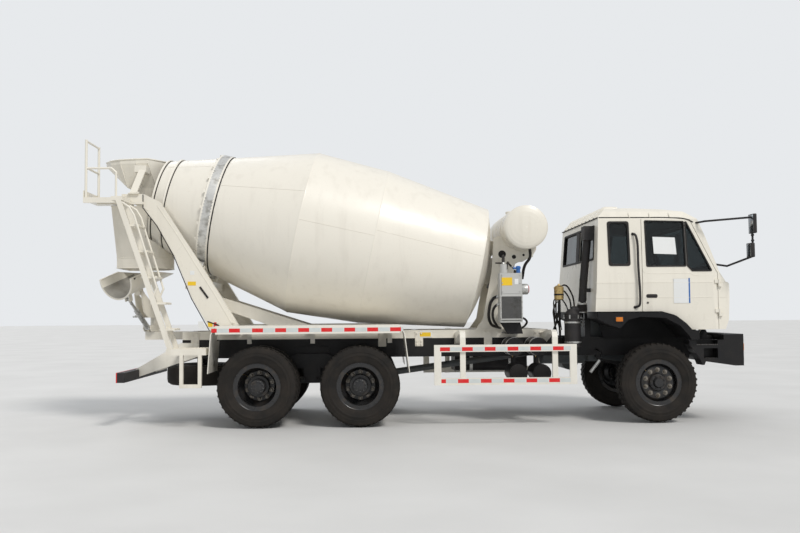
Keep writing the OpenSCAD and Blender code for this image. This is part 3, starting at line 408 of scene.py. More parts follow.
@dataclass(frozen=True)
class Weave(Finish):
    """Woven seat cloth with faint stripes."""

    pitch: float = 0.0045

    def make(self, graph: Graph) -> bpy.types.Material:
        """Crosses two sets of fine threads."""
        scale = 1 / self.pitch / 6.28
        warp, weft = (graph.add("TexWave", {"Vector": graph.place(), "Scale": scale, "Distortion": 0.6},
                                bands_direction=way).outputs[1] for way in ("Y", "Z"))
        cloth = graph.math("MULTIPLY", warp, weft)
        base = graph.mix(cloth, tuple(c * 0.6 for c in self.colour), self.colour)
        worn = graph.span(graph.noise(6, 5), 0.45, 0.75, 0.0, 0.35)
        base = graph.mix(worn, base, tuple(min(1.0, c * 1.7) for c in self.colour))
        graph.shade(Base_Color=base, Roughness=0.85, Normal=graph.bump(cloth, 0.0008, 0.7))
        graph.shade(Sheen_Weight=0.3, Sheen_Roughness=0.5)
        return graph.material


class Palette:
    """Every finish on the truck."""

    cream = Paint("cream", Slot.CREAM, (0.80, 0.76, 0.665))
    drum = Paint("drum_cream", Slot.CREAM, (0.83, 0.79, 0.70), rough=0.36, streaks=0.10, dust=0.0)
    guard = Paint("guard_cream", Slot.CREAM, (0.80, 0.77, 0.69), dust=0.25, dust_top=1.1)
    black = Paint("chassis_black", Slot.BLACK, (0.010, 0.010, 0.011), rough=0.45, streaks=0.03, dust=0.20,
                  dirt=ROAD_DIRT, coat=0.05, shine=0.25)
    arch = Paint("arch_black", Slot.TRIM, (0.009, 0.009, 0.010), rough=0.5, streaks=0.02, dust=0.20,
                 dirt=ROAD_DIRT, coat=0.0, shine=0.2)
    grey = Paint("cooler_grey", Slot.GREY, (0.50, 0.50, 0.48), rough=0.42, streaks=0.15, dust=0.1, coat=0.0)
    engine = Paint("engine_grey", Slot.DARK, (0.06, 0.07, 0.075), rough=0.5, streaks=0.2, dust=0.4,
                   dirt=(0.12, 0.10, 0.07), coat=0.0)
    red = Paint("red_cap", Slot.GREY, (0.60, 0.02, 0.015), streaks=0.02, dust=0.0)
    yellow = Paint("yellow_label", Slot.GREY, (0.85, 0.55, 0.02), streaks=0.03, dust=0.0, coat=0.0)
    white = Paint("white_label", Slot.GREY, (0.78, 0.79, 0.78), streaks=0.04, dust=0.0, coat=0.0)
    blue = Paint("blue_valve", Slot.GREY, (0.02, 0.13, 0.42), streaks=0.05, dust=0.0)
    dark = Metal("dark_steel", Slot.DARK, (0.10, 0.10, 0.10), cover=0.6, metallic=0.5, rough=0.5)
    fins = Metal("cooler_fins", Slot.GREY, (0.21, 0.21, 0.205), grime=(0.12, 0.115, 0.105), cover=0.3,
                 metallic=0.2, rough=0.5, grain=9)
    rim = Metal("rim_steel", Slot.DARK, (0.026, 0.026, 0.027), grime=(0.055, 0.044, 0.034), cover=0.25,
                metallic=0.2, rough=0.27, grain=9)
    stud = Metal("stud_steel", Slot.DARK, (0.26, 0.24, 0.21), grime=(0.14, 0.11, 0.08), cover=0.4, grain=40)
    nut = Metal("nut_steel", Slot.DARK, (0.16, 0.155, 0.15), grime=(0.07, 0.055, 0.045), cover=0.5, grain=60)
    track = Metal("greasy_track", Slot.TRACK, (0.66, 0.655, 0.63), grime=(0.33, 0.32, 0.29), cover=0.35,
                  metallic=0.6, rough=0.36, grain=10)
    zinc = Metal("zinc", Slot.TRACK, (0.58, 0.58, 0.56), grime=(0.20, 0.19, 0.17), cover=0.3, grain=45)
    chrome = Metal("mirror_silver", Slot.TRACK, (0.80, 0.81, 0.82), grime=(0.45, 0.45, 0.44), cover=0.0,
                   metallic=1.0, rough=0.16, grain=8)
    mirror = Metal("mirror_pane", Slot.TRACK, (0.30, 0.32, 0.33), grime=(0.26, 0.28, 0.29), cover=0.0,
                   metallic=1.0, rough=0.12, grain=6)
    brass = Metal("brass", Slot.TRACK, (0.55, 0.40, 0.17), grime=(0.16, 0.11, 0.05), cover=0.35)
    worn = Metal("worn_chute", Slot.TRACK, (0.40, 0.385, 0.35), grime=(0.31, 0.29, 0.25), cover=0.4,
                 metallic=0.2, rough=0.55, grain=5)
    tyre = Rubber("tyre", Slot.TYRE, (0.012, 0.011, 0.010), dust=(0.075, 0.057, 0.042), cover=0.24)
    hose = Rubber("hose", Slot.TYRE, (0.014, 0.014, 0.015), cover=0.15, rough=0.5)
    seal = Rubber("seal", Slot.TRIM, (0.012, 0.012, 0.013), cover=0.10, rough=0.6)
    plastic = Rubber("moulded_plastic", Slot.TRIM, (0.022, 0.022, 0.024), cover=0.12, rough=0.55)
    dash = Rubber("dashboard", Slot.TRIM, (0.085, 0.087, 0.09), cover=0.08, rough=0.6)
    seat = Weave("seat_cloth", Slot.SEAT, (0.10, 0.11, 0.13))
    window = Glass("tinted_glass", Slot.WINDOW, (0.11, 0.14, 0.145))
    lens = Glass("clear_lens", Slot.LAMP, (0.86, 0.87, 0.86), clear=0.75, ribs=14)
    amber = Glass("amber_lens", Slot.LAMP, (0.85, 0.25, 0.02), clear=0.3, ribs=40)
    ruby = Glass("red_lens", Slot.LAMP, (0.55, 0.01, 0.01), clear=0.3, ribs=40)
    tape_across = Tape("tape_across", Slot.LAMP, TAPE_RED, along=1)


def pick(*pieces: bpy.types.Object) -> None:
    """Selects the pieces and nothing else, the first one active."""
    bpy.ops.object.select_all(action="DESELECT")
    for piece in pieces:
        piece.select_set(True)
    bpy.context.view_layer.objects.active = pieces[0]


@contextmanager
def editing(piece: bpy.types.Object, mode: str = "FACE") -> Iterator[None]:
    """Opens a piece in edit mode.

    Args:
        piece: Mesh to edit.
        mode: What is picked there, VERT, EDGE or FACE.
    """
    pick(piece)
    bpy.ops.object.mode_set(mode="EDIT")
    bpy.ops.mesh.select_mode(type=mode)
    yield
    bpy.ops.object.mode_set(mode="OBJECT")


def choose(piece: bpy.types.Object, rule: Callable[[Vector, Vector], bool]) -> None:
    """Selects the faces that a rule accepts, and nothing else.

    Args:
        piece: Mesh to look at.
        rule: Called with each face's centre and normal.
    """
    mesh = piece.data
    mesh.vertices.foreach_set("select", [False] * len(mesh.vertices))
    mesh.edges.foreach_set("select", [False] * len(mesh.edges))
    mesh.polygons.foreach_set("select", [bool(rule(face.center, face.normal)) for face in mesh.polygons])


def face_outward(weld: bool = False) -> None:
    """Turns the faces of the mesh open for editing outward, after welding its doubled points if asked."""
    bpy.ops.mesh.select_all(action="SELECT")
    if weld:
        bpy.ops.mesh.remove_doubles(threshold=WELD)
    bpy.ops.mesh.normals_make_consistent(inside=False)


def settle(piece: bpy.types.Object) -> bpy.types.Object:
    """Moves a piece's place, turn and size into its mesh."""
    pick(piece)
    bpy.ops.object.transform_apply(location=True, rotation=True, scale=True)
    return piece


def modify(piece: bpy.types.Object, kind: str, **settings: object) -> bpy.types.Object:
    """Adds a modifier and applies it.

    Args:
        piece: Mesh to change.
        kind: Type of the modifier.
        settings: Its properties.

    Returns:
        The piece.
    """
    pick(piece)
    modifier = piece.modifiers.new(kind.title(), kind)
    for key, value in settings.items():
        setattr(modifier, key, value)
    bpy.ops.object.modifier_apply(modifier=modifier.name)
    return piece


def soften(piece: bpy.types.Object, width: float, steps: int) -> bpy.types.Object:
    """Rounds the sharp edges of a piece by a width in millimetres."""
    return modify(piece, "BEVEL", width=width / 1000, segments=steps, limit_method="ANGLE",
                  angle_limit=math.radians(SHARP), harden_normals=False)


def smooth(piece: bpy.types.Object, angle: float = SHARP) -> bpy.types.Object:
    """Shades a piece smooth below an angle between its faces."""
    pick(piece)
    bpy.ops.object.shade_smooth_by_angle(angle=math.radians(angle))
    return piece


def twin(model: bpy.types.Object) -> bpy.types.Object:
    """A copy of a model with its own mesh."""
    other = model.copy()
    other.data = model.data.copy()
    bpy.context.collection.objects.link(other)
    return other


def copied(piece: bpy.types.Object, places: Sequence[Matrix]) -> bpy.types.Object:
    """Puts a copy of a piece at each place, and joins them.

    Args:
        piece: Model of the copies, which is used up.
        places: Where the copies go, in the model's own frame.

    Returns:
        The joined piece.
    """
    copies = [piece, *(twin(piece) for _ in places[1:])]
    for other, place in zip(copies, places):
        other.data.transform(place)
    return joined(*copies)


def joined(first: bpy.types.Object, *others: bpy.types.Object) -> bpy.types.Object:
    """Joins pieces into the first one."""
    if others:
        pick(first, *others)
        bpy.ops.object.join()
    return first


def block(x: Flat, y: Flat, z: Flat) -> bpy.types.Object:
    """A plain block between two limits on each axis, in millimetres from the front axle."""
    bpy.ops.object.select_all(action="DESELECT")
    low, high = at(x[0], y[0], z[0]), at(x[1], y[1], z[1])
    bpy.ops.mesh.primitive_cube_add(size=1, location=(low + high) / 2, scale=high - low)
    return settle(bpy.context.object)


def slab(x: Flat, y: Flat, z: Flat, edge: float = 2.0, steps: int = 2) -> bpy.types.Object:
    """A block between the same limits with its edges rounded by a width in millimetres."""
    piece = block(x, y, z)
    return smooth(soften(piece, edge, steps)) if edge else piece


def cleat(half_length: float, half_width: float, z: Flat, edge: float) -> bpy.types.Object:
    """A rounded block that stands about the part's origin, in millimetres."""
    x = -FRONT_AXLE_X - half_length, -FRONT_AXLE_X + half_length
    return slab(x, (-half_width, half_width), z, edge, 1)


def peg(corners: int, radius: float, height: float, rise: float) -> bpy.types.Object:
    """An upright cylinder in millimetres whose middle stands at a rise above the origin."""
    bpy.ops.object.select_all(action="DESELECT")
    bpy.ops.mesh.primitive_cylinder_add(vertices=corners, radius=radius / 1000, depth=height / 1000,
                                        location=(0, 0, rise / 1000))
    return settle(bpy.context.object)


def outline_ring(points: Sequence[Point]) -> bpy.types.Object:
    """A closed line through points in metres, started from a circle."""
    bpy.ops.object.select_all(action="DESELECT")
    bpy.ops.mesh.primitive_circle_add(vertices=len(points), radius=1, fill_type="NOTHING")
    piece = bpy.context.object
    for vertex, point in zip(piece.data.vertices, points):
        vertex.co = point
    return piece


def plate(outline: Sequence[Flat], plane: Plane, depth: Flat, edge: float = 1.5,
          steps: int = 1) -> bpy.types.Object:
    """A flat plate cut to an outline.

    Args:
        outline: Corners in the plane, in millimetres from the front axle.
        plane: View that the outline is drawn in.
        depth: Where the plate begins and ends across the plane.
        edge: Width of the rounding on its edges.
        steps: Segments of that rounding.

    Returns:
        The plate.
    """
    def spot(u: float, v: float, w: float) -> Vector:
        """Place of a corner at a depth."""
        return at(*(sum(n * way[i] for n, way in zip((u, v, w), plane.value)) for i in range(3)))

    piece = outline_ring([spot(u, v, depth[0]) for u, v in outline])
    with editing(piece, "EDGE"):
        bpy.ops.mesh.select_all(action="SELECT")
        bpy.ops.mesh.edge_face_add()
        step = spot(0, 0, depth[1]) - spot(0, 0, depth[0])
        bpy.ops.mesh.extrude_region_move(TRANSFORM_OT_translate={"value": step})
        face_outward()
    return smooth(soften(piece, edge, steps)) if edge else smooth(piece)


def turned(profile: Sequence[Flat], origin: Vector, axis: Vector, steps: int,
           angle: float = SHARP) -> bpy.types.Object:
    """A solid turned round an axis.

    Args:
        profile: Closed section as (radius, distance along the axis), in millimetres.
        origin: Where distance 0 lies.
        axis: Direction of the axis.
        steps: Faces round the axis.
        angle: Angle above which an edge stays sharp.

    Returns:
        The solid.
    """
    piece = outline_ring([(r / 1000, 0, s / 1000) for r, s in profile])
    with editing(piece, "EDGE"):
        bpy.ops.mesh.select_all(action="SELECT")
        bpy.ops.mesh.spin(steps=steps, angle=math.tau, center=(0, 0, 0), axis=(0, 0, 1), use_auto_merge=True)
        face_outward(weld=True)
    piece.data.transform(facing(origin, axis))
    return smooth(piece, angle)


def hoop(inner: Flat, size: Flat, origin: Vector, axis: Vector, steps: int,
         slope: float = 2) -> bpy.types.Object:
    """A band turned round an axis, with sloping edges.

    Args:
        inner: Radius of its inside, and the distance along the axis where it begins, in millimetres.
        size: Its thickness and its width.
        origin: Where distance 0 lies.
        axis: Direction of the axis.
        steps: Faces round the axis.
        slope: Width of each sloping edge.

    Returns:
        The band.
    """
    low, start = inner
    high, end = low + size[0], start + size[1]
    return turned([(low, start), (high, start + slope), (high, end - slope), (low, end)], origin, axis, steps)


def pipe(points: Sequence[Vector], radius: float, closed: bool = False, sharp: bool = False,
         sides_round: int = 3) -> bpy.types.Object:
    """A round bar or hose through points.

    Args:
        points: Middle line, in metres.
        radius: Radius in millimetres.
        closed: Whether the last point runs on into the first.
        sharp: Whether it turns at its points rather than in curves.
        sides_round: Fineness of its section.

    Returns:
        The bar as a mesh.
    """
    bpy.ops.object.select_all(action="DESELECT")
    bpy.ops.curve.primitive_bezier_curve_add(location=(0, 0, 0))
    piece = bpy.context.object
    curve, spline = piece.data, piece.data.splines[0]
    spline.bezier_points.add(len(points) - 2)
    for knot, point in zip(spline.bezier_points, points):
        knot.co = point
        knot.handle_left_type = knot.handle_right_type = "VECTOR" if sharp else "AUTO"
    spline.use_cyclic_u = closed
    spline.resolution_u = 1 if sharp else 6
    curve.dimensions = "3D"
    curve.bevel_depth = radius / 1000
    curve.bevel_resolution = sides_round
    curve.use_fill_caps = not closed
    bpy.ops.object.convert(target="MESH")
    with editing(piece):
        face_outward(weld=True)
    return smooth(piece, 50)


def hex_bolt(size: float, height: float) -> bpy.types.Object:
    """A bolt head on its washer, standing on the origin along z, sized in millimetres across its flats."""
    head = peg(6, size * HEX_CORNER, height, height / 2 + 2)
    choose(head, lambda centre, normal: normal.z > 0.9)
    with editing(head):
        bpy.ops.mesh.inset(thickness=size * 0.1 / 1000)
        bpy.ops.transform.translate(value=(0, 0, size * 0.06 / 1000))
    washer = soften(peg(12, size * 0.85, 3, 1.2), 0.6, 1)
    return smooth(joined(head, washer), 25)


def facing(place: Vector, direction: Vector) -> Matrix:
    """Puts what stands along z at a place, along a direction."""
    return Matrix.Translation(place) @ direction.to_track_quat("Z", "Y").to_matrix().to_4x4()


def path(*spots: Point) -> list[Vector]:
    """Points of a line, given in millimetres from the front axle."""
    return [at(*spot) for spot in spots]


def bar(points: Sequence[Vector], radius: float, closed: bool = False) -> bpy.types.Object:
    """A round bar through points in metres, which turns sharply at them."""
    return pipe(points, radius, closed=closed, sharp=True)


def bolts(places: Sequence[Vector], direction: Vector, size: float) -> bpy.types.Object:
    """Bolt heads at several places on a face."""
    return copied(hex_bolt(size, size * 0.6), [facing(place, direction) for place in places])


@dataclass
class Assembly:
    """A group of pieces that ride on one body."""

    body: Body = Body.CHASSIS

    def keep(self, piece: bpy.types.Object, name: str, finish: Finish, body: Body | None = None,
             stands_for: Sequence[str] = ()) -> bpy.types.Object:
        """Names, dresses and mounts a finished piece.

        Args:
            piece: Its object.
            name: Its name.
            finish: Its finish.
            body: Its body, where it isn't the assembly's own.
            stands_for: Nodes of the model that it replaces.

        Returns:
            The piece.
        """
        piece.name = name
        piece.data.name = name
        piece.data.materials.clear()
        piece.data.materials.append(finish.material())
        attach(piece, (body or self.body).value)
        if stands_for:
            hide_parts(*stands_for)
        log.info("%s rides on %s, %d faces", name, (body or self.body).value, len(piece.data.polygons))
        return piece

    def build(self) -> None:
        """Makes every piece of the assembly."""
        raise NotImplementedError


@dataclass(frozen=True)
class Hub:
    """What is fitted to one kind of rim, with its distances outward from the disc's face in millimetres."""

    face: float
    lock: float
    nuts: tuple[float, float, int, float]
    cap_nuts: tuple[float, float, int, float]
    cap: Sequence[Flat]
    rings: Sequence[Sequence[Flat]]
    valve: Sequence[Point]


FRONT_HUB = Hub(
    face=970, lock=0, nuts=(165, 71, 10, 38), cap_nuts=(84, 99, 8, 13),
    cap=((4, 136), (40, 138), (46, 132), (58, 130), (72, 102), (72, 96), (4, 96)),
    rings=(((97, 60), (97, 92), (104, 90), (112, 74), (112, 62)),),
    valve=((150, 70, 150), (178, 92, 170), (205, 100, 190)))
REAR_HUB = Hub(
    face=930, lock=161, nuts=(166, 13, 10, 36), cap_nuts=(72, 238, 10, 16),
    cap=((4, 244), (74, 243), (84, 236), (90, 236), (90, 228), (4, 228)),
    rings=(((133, 14), (133, 108), (128, 121), (136, 122), (142, 112), (142, 14)),
           ((205, -190), (225, -190), (232, -180), (232, -100), (214, -92), (205, -92))),
    valve=((150, 16, 120), (170, 60, 140), (190, 221, 160)))


@dataclass
class Wheels(Assembly):
    """Treaded tyres, and the studs, hubs and valves of the rims."""

    axle_z: float = 520
    axles: Sequence[tuple[str, float]] = (("front", 0), ("middle", MIDDLE_AXLE_X), ("rear", REAR_AXLE_X))
    twin_y: Flat = (769, 1091)
    lugs: int = 42
    lug_depth: float = 0.012
    tread_radius: float = 484
    groove: Flat = (14, 500)
    shoulder: float = 66
    rib: Flat = (23, 56)
    lock_ring: Sequence[Flat] = ((288, 112), (293, 117), (299, 119), (301, 115), (296, 108))
    section: Sequence[Flat] = (
        (256, 100), (292, 108), (300, 116), (330, 127), (362, 133), (386, 137.5), (389, 139.5),
        (394, 139.5), (397, 138), (426, 137.5), (429, 139.5), (435, 139.5), (438, 137), (466, 133.5),
        (484, 128), (498, 120), (508, 108), (508, 66), (508, 56), (508, 23), (508, 14))

    def pattern(self, centre: Vector, middle: Vector) -> int:
        """Which part of the tread a face belongs to: 0 groove, 1 lug, 2 rib."""
        spot = centre - middle
        radius, offset = math.hypot(spot.x, spot.z) * 1000, abs(spot.y) * 1000
        if radius < self.tread_radius or offset < self.groove[0] and radius < self.groove[1]:
            return 0
        turn = int((math.atan2(spot.z, spot.x) / math.tau + 1) * self.lugs * 3) % 3
        turn = (turn + (2 if spot.y > 0 else 0)) % 3
        if offset > self.shoulder:
            return 1 if turn else 0
        return 2 if self.rib[0] < offset < self.rib[1] and turn != 1 else 0

    def tyre(self) -> bpy.types.Object:
        """One tyre, standing at the middle of the front axle."""
        profile = [*self.section, *((r, -s) for r, s in reversed(self.section))]
        middle = at(0, 0, self.axle_z)
        piece = turned(profile, middle, LEFTWARD, self.lugs * 3)
        for part in (1, 2):
            choose(piece, lambda centre, normal: self.pattern(centre, middle) == part)
            with editing(piece):
                bpy.ops.mesh.extrude_region_shrink_fatten(
                    TRANSFORM_OT_shrink_fatten={"value": -self.lug_depth})
        return smooth(piece, 30)

    def studs(self, face: float, radius: float, depth: float, count: int, size: float) -> bpy.types.Object:
        """A ring of nuts on their studs, at a depth beyond the face of the disc."""
        stud = soften(peg(10, size * 0.3, size * 1.5, size * 0.75), 1.2, 1)
        nut = joined(hex_bolt(size, size * 0.75), stud)
        places = []
        for i in range(count):
            turn = math.tau * (i + 0.5) / count
            spot = at(radius * math.cos(turn), face + depth, self.axle_z + radius * math.sin(turn))
            places.append(facing(spot, LEFTWARD))
        return copied(smooth(nut, 25), places)

    def ring(self, profile: Sequence[Flat], face: float, steps: int = 40) -> bpy.types.Object:
        """A turned part whose section starts at a distance along the axle."""
        return turned([(r, face + s) for r, s in profile], at(0, 0, self.axle_z), LEFTWARD, steps)

    def fittings(self, hub: Hub) -> list[tuple[bpy.types.Object, str, Finish]]:
        """Parts of a rim on a wheel that faces left, with their names and finishes."""
        lock = self.ring(self.lock_ring, hub.face + hub.lock, 64)
        rings = [self.ring(profile, hub.face) for profile in hub.rings]
        cap = joined(self.studs(hub.face, *hub.cap_nuts), self.ring(hub.cap, hub.face))
        valve = pipe([at(x, hub.face + y, self.axle_z + z) for x, y, z in hub.valve], 4)
        return [(self.studs(hub.face, *hub.nuts), "nuts", Palette.stud), (cap, "cap", Palette.rim),
                (joined(lock, *rings), "rings", Palette.rim), (valve, "valve", Palette.brass)]

    def build(self) -> None:
        """Dresses all six wheel bodies."""
        tyre, front, rear = self.tyre(), self.fittings(FRONT_HUB), self.fittings(REAR_HUB)
        home = at(0, 0, self.axle_z)
        for axle, x in self.axles:
            single = axle == "front"
            plural = "" if single else "s"
            for side in (1, -1):
                place = f"{axle}_{sides(side)}"
                body = Body(f"wheel{plural}_{place}")
                facing_out = Matrix.Rotation(0 if side > 0 else math.pi, 4, "Z")
                hub = Matrix.Translation(home + Vector((x / 1000, 0, 0)))
                turn = hub @ facing_out @ Matrix.Translation(-home)
                node = f"tyre{plural}_{place}"
                offsets = (FRONT_HUB.face,) if single else self.twin_y
                rubber = copied(twin(tyre), [turn @ Matrix.Translation((0, y / 1000, 0)) for y in offsets])
                self.keep(rubber, node + "_tread", Palette.tyre, body, [node])
                for model, name, finish in front if single else rear:
                    part = twin(model)
                    part.data.transform(turn)
                    self.keep(part, f"{name}_{place}", finish, body)
        for model in (tyre, *(part[0] for part in front + rear)):
            bpy.data.objects.remove(model)


@dataclass
class Drum(Assembly):
    """Weld seams, inspection hatch, running track and lifting lugs of the drum, and painted shadows beside
    its rings.
    """

    body: Body = Body.DRUM
    middle: Point = (-4645, 0, 2580)
    tilt: float = 12
    outline: Sequence[Flat] = ((-2030, 600), (0, 1140), (1000, 1086), (2453, 850))
    track_s: float = -1234
    track_w: float = 150
    track_r: float = 845
    head_s: float = 2642
    head_bolts_r: float = 165
    hatch_s: Flat = (300, 700)
    hatch_turn: Flat = (218, 242)

    def axis(self) -> Vector:
        """Direction of the drum's axis towards its head."""
        angle = math.radians(self.tilt)
        return Vector((math.cos(angle), 0, -math.sin(angle)))

    def spot(self, s: float, turn: float, proud: float = 0.0) -> Vector:
        """Place on the shell.

        Args:
            s: Distance along the axis from the widest seam.
            turn: Degrees from the top towards the truck's right.
            proud: Height above the shell.

        Returns:
            The place in metres.
        """
        return self.beside(s, turn, lerp(self.outline, s) + proud)

    def beside(self, s: float, turn: float, radius: float) -> Vector:
        """Place at a distance along the axis and a radius from it."""
        return at(*self.middle) + self.axis() * (s / 1000) + self.out(turn) * (radius / 1000)

    def out(self, turn: float) -> Vector:
        """Direction square to the axis, at degrees from the top towards the truck's right."""
        angle, slope = math.radians(turn), math.radians(self.tilt)
        up = math.cos(angle)
        return Vector((up * math.sin(slope), -math.sin(angle), up * math.cos(slope)))

    def band(self, s: float, width: float, low: float, high: float, steps: int = 96) -> bpy.types.Object:
        """A ring round the drum with softly rounded edges."""
        profile = [(low, s - width / 2), (high - 1, s - width / 2), (high, s - width / 2 + width * 0.2),
                   (high, s + width / 2 - width * 0.2), (high - 1, s + width / 2), (low, s + width / 2)]
        return turned(profile, at(*self.middle), self.axis(), steps)

    def seams(self) -> bpy.types.Object:
        """Weld beads round and along the shell."""
        beads = [self.band(s, 16, r - 3, r + 2.2) for s, r in self.outline[1:]]
        for start, end, first in ((-1130, 0, 66), (0, 1000, 86), (1000, 2453, 82), (-1960, -1330, 40)):
            for turn in (first, first + 120, first + 240):
                beads.append(bar([self.spot(start, turn), self.spot(end, turn)], 3.5))
        return joined(*beads)

    def hatch(self) -> list[bpy.types.Object]:
        """Bolted hatch low on the shell, with its rim and bolts."""
        (low, high), (left, right) = self.hatch_s, self.hatch_turn
        frame = [(low, left), (high, left), (high, right), (low, right)]
        rim = bar([self.spot(s, t, 4) for s, t in frame], 7, closed=True)
        places = []
        for i in range(6):
            s = low + 30 + (high - low - 60) * i / 5
            places += [facing(self.spot(s, t), self.out(t)) for t in (left + 1.6, right - 1.6)]
        for t in (left + 6, (left + right) / 2, right - 6):
            places += [facing(self.spot(s, t), self.out(t)) for s in (low + 30, high - 30)]
        return [rim, copied(hex_bolt(24, 14), places)]

    def build(self) -> None:
        """Dresses the drum."""
        self.keep(self.seams(), "drum_seams", Palette.drum)
        rim, heads = self.hatch()
        self.keep(rim, "hatch_rim", Palette.drum)
        self.keep(heads, "hatch_bolts", Palette.drum)
        self.keep(self.band(self.track_s, self.track_w + 0.6, self.track_r - 12, self.track_r + 0.3, 120),
                  "track_face", Palette.track)
        # Painted shadow: dark bands just beside the two rings and the running track stand for the shade those
        # rings cast on the shell, not for a rubber seal.
        ring_shadows = [self.band(s, width, r - 4, r + 2) for s, width, r in (
            (-1996, 16, 609), (-1834, 16, 652), (self.track_s + self.track_w / 2 + 9, 14, self.track_r - 6))]
        self.keep(joined(*ring_shadows), "drum_ring_shadows", Palette.seal)
        lugs = []
        for side in (-1, 1):
            s = self.track_s + side * (self.track_w / 2 + 14)
            lugs += [facing(self.beside(s, turn, self.track_r - 14), self.out(turn))
                     for turn in range(0, 360, 15)]
        self.keep(copied(cleat(13, 20, (-14, 8), 2), lugs), "track_blocks", Palette.drum)
        places = [facing(self.beside(self.head_s, i * 22.5, self.head_bolts_r), -self.axis())
                  for i in range(16)]
        self.keep(copied(hex_bolt(24, 14), places), "head_bolts", Palette.nut)


@dataclass
class Tapes(Assembly):
    """Reflecting tape on the guards, the fenders and the rear bar."""

    side_y: float = 1240

    def strip(self, x: Flat, z: Flat, side: int, start: float, name: str) -> None:
        """Lays one strip along the truck's side."""
        strip = slab(x, y_span(side, self.side_y, self.side_y + 1.2), z, 0.4, 1)
        finish = Tape(f"tape_{name}", Slot.LAMP, TAPE_RED, start=start)
        self.keep(strip, f"tape_{name}_{sides(side)}", finish)

    def build(self) -> None:
        """Lays every strip."""
        for side in (1, -1):
            self.strip((-2836, -1170), (955, 1004), side, 0.555, "guard_top")
            self.strip((-2823, -1176), (552, 601), side, 0.500, "guard_low")
            self.strip((-5718, -3300), (1212, 1262), side, 0.226, "fender")
        self.keep(slab((-6926, -6924), (-1130, 1130), (628, 672), 0.4, 1), "tape_rear", Palette.tape_across)


def inset(outline: Sequence[Flat], by: float) -> list[Flat]:
    """Moves an anticlockwise outline inward.

    Args:
        outline: Its corners.
        by: Distance, or a negative one to move it outward.

    Returns:
        The new corners.
    """
    moved = []
    for i, (u, v) in enumerate(outline):
        before, after = outline[i - 1], outline[(i + 1) % len(outline)]
        a = Vector((u - before[0], v - before[1])).normalized()
        b = Vector((after[0] - u, after[1] - v)).normalized()
        left, other = Vector((-a.y, a.x)), Vector((-b.y, b.x))
        step = (left + other) * (by / (1 + left.dot(other)))
        moved.append((u + step.x, v + step.y))
    return moved


def rounded(outline: Sequence[Flat], radius: float, steps: int = 5) -> list[Flat]:
    """Rounds the corners of an outline.

    Args:
        outline: Its corners.
        radius: Radius of the rounding.
        steps: Segments of each corner.

    Returns:
        The points of the rounded outline.
    """
    points = []
    for i, corner in enumerate(outline):
        here = Vector(corner)
        before, after = Vector(outline[i - 1]) - here, Vector(outline[(i + 1) % len(outline)]) - here
        half = before.angle(after) / 2
        reach = min(radius / math.tan(half), before.length * 0.45, after.length * 0.45)
        start, end = here + before.normalized() * reach, here + after.normalized() * reach
        for k in range(steps + 1):
            t = k / steps
            spot = start * (1 - t) ** 2 + here * 2 * t * (1 - t) + end * t ** 2
            points.append((spot.x, spot.y))
    return points


def gasket(outer: Sequence[Flat], inner: Sequence[Flat], surface: Surface, depth: float) -> bpy.types.Object:
    """A rubber frame between two outlines with as many points each, on a curved surface.

    Args:
        outer: Its outer edge.
        inner: Its inner edge.
        surface: Gives the place of a point of the outlines.
        depth: Thickness in metres.

    Returns:
        The frame.
    """
    piece = joined(*(outline_ring([surface(u, v) for u, v in edge]) for edge in (outer, inner)))
    with editing(piece, "EDGE"):
        bpy.ops.mesh.select_all(action="SELECT")
        bpy.ops.mesh.bridge_edge_loops()
        bpy.ops.mesh.normals_make_consistent(inside=False)
    modify(piece, "SOLIDIFY", thickness=depth, offset=0)
    with editing(piece):
        face_outward()
    return smooth(soften(piece, 2.5, 2), 40)


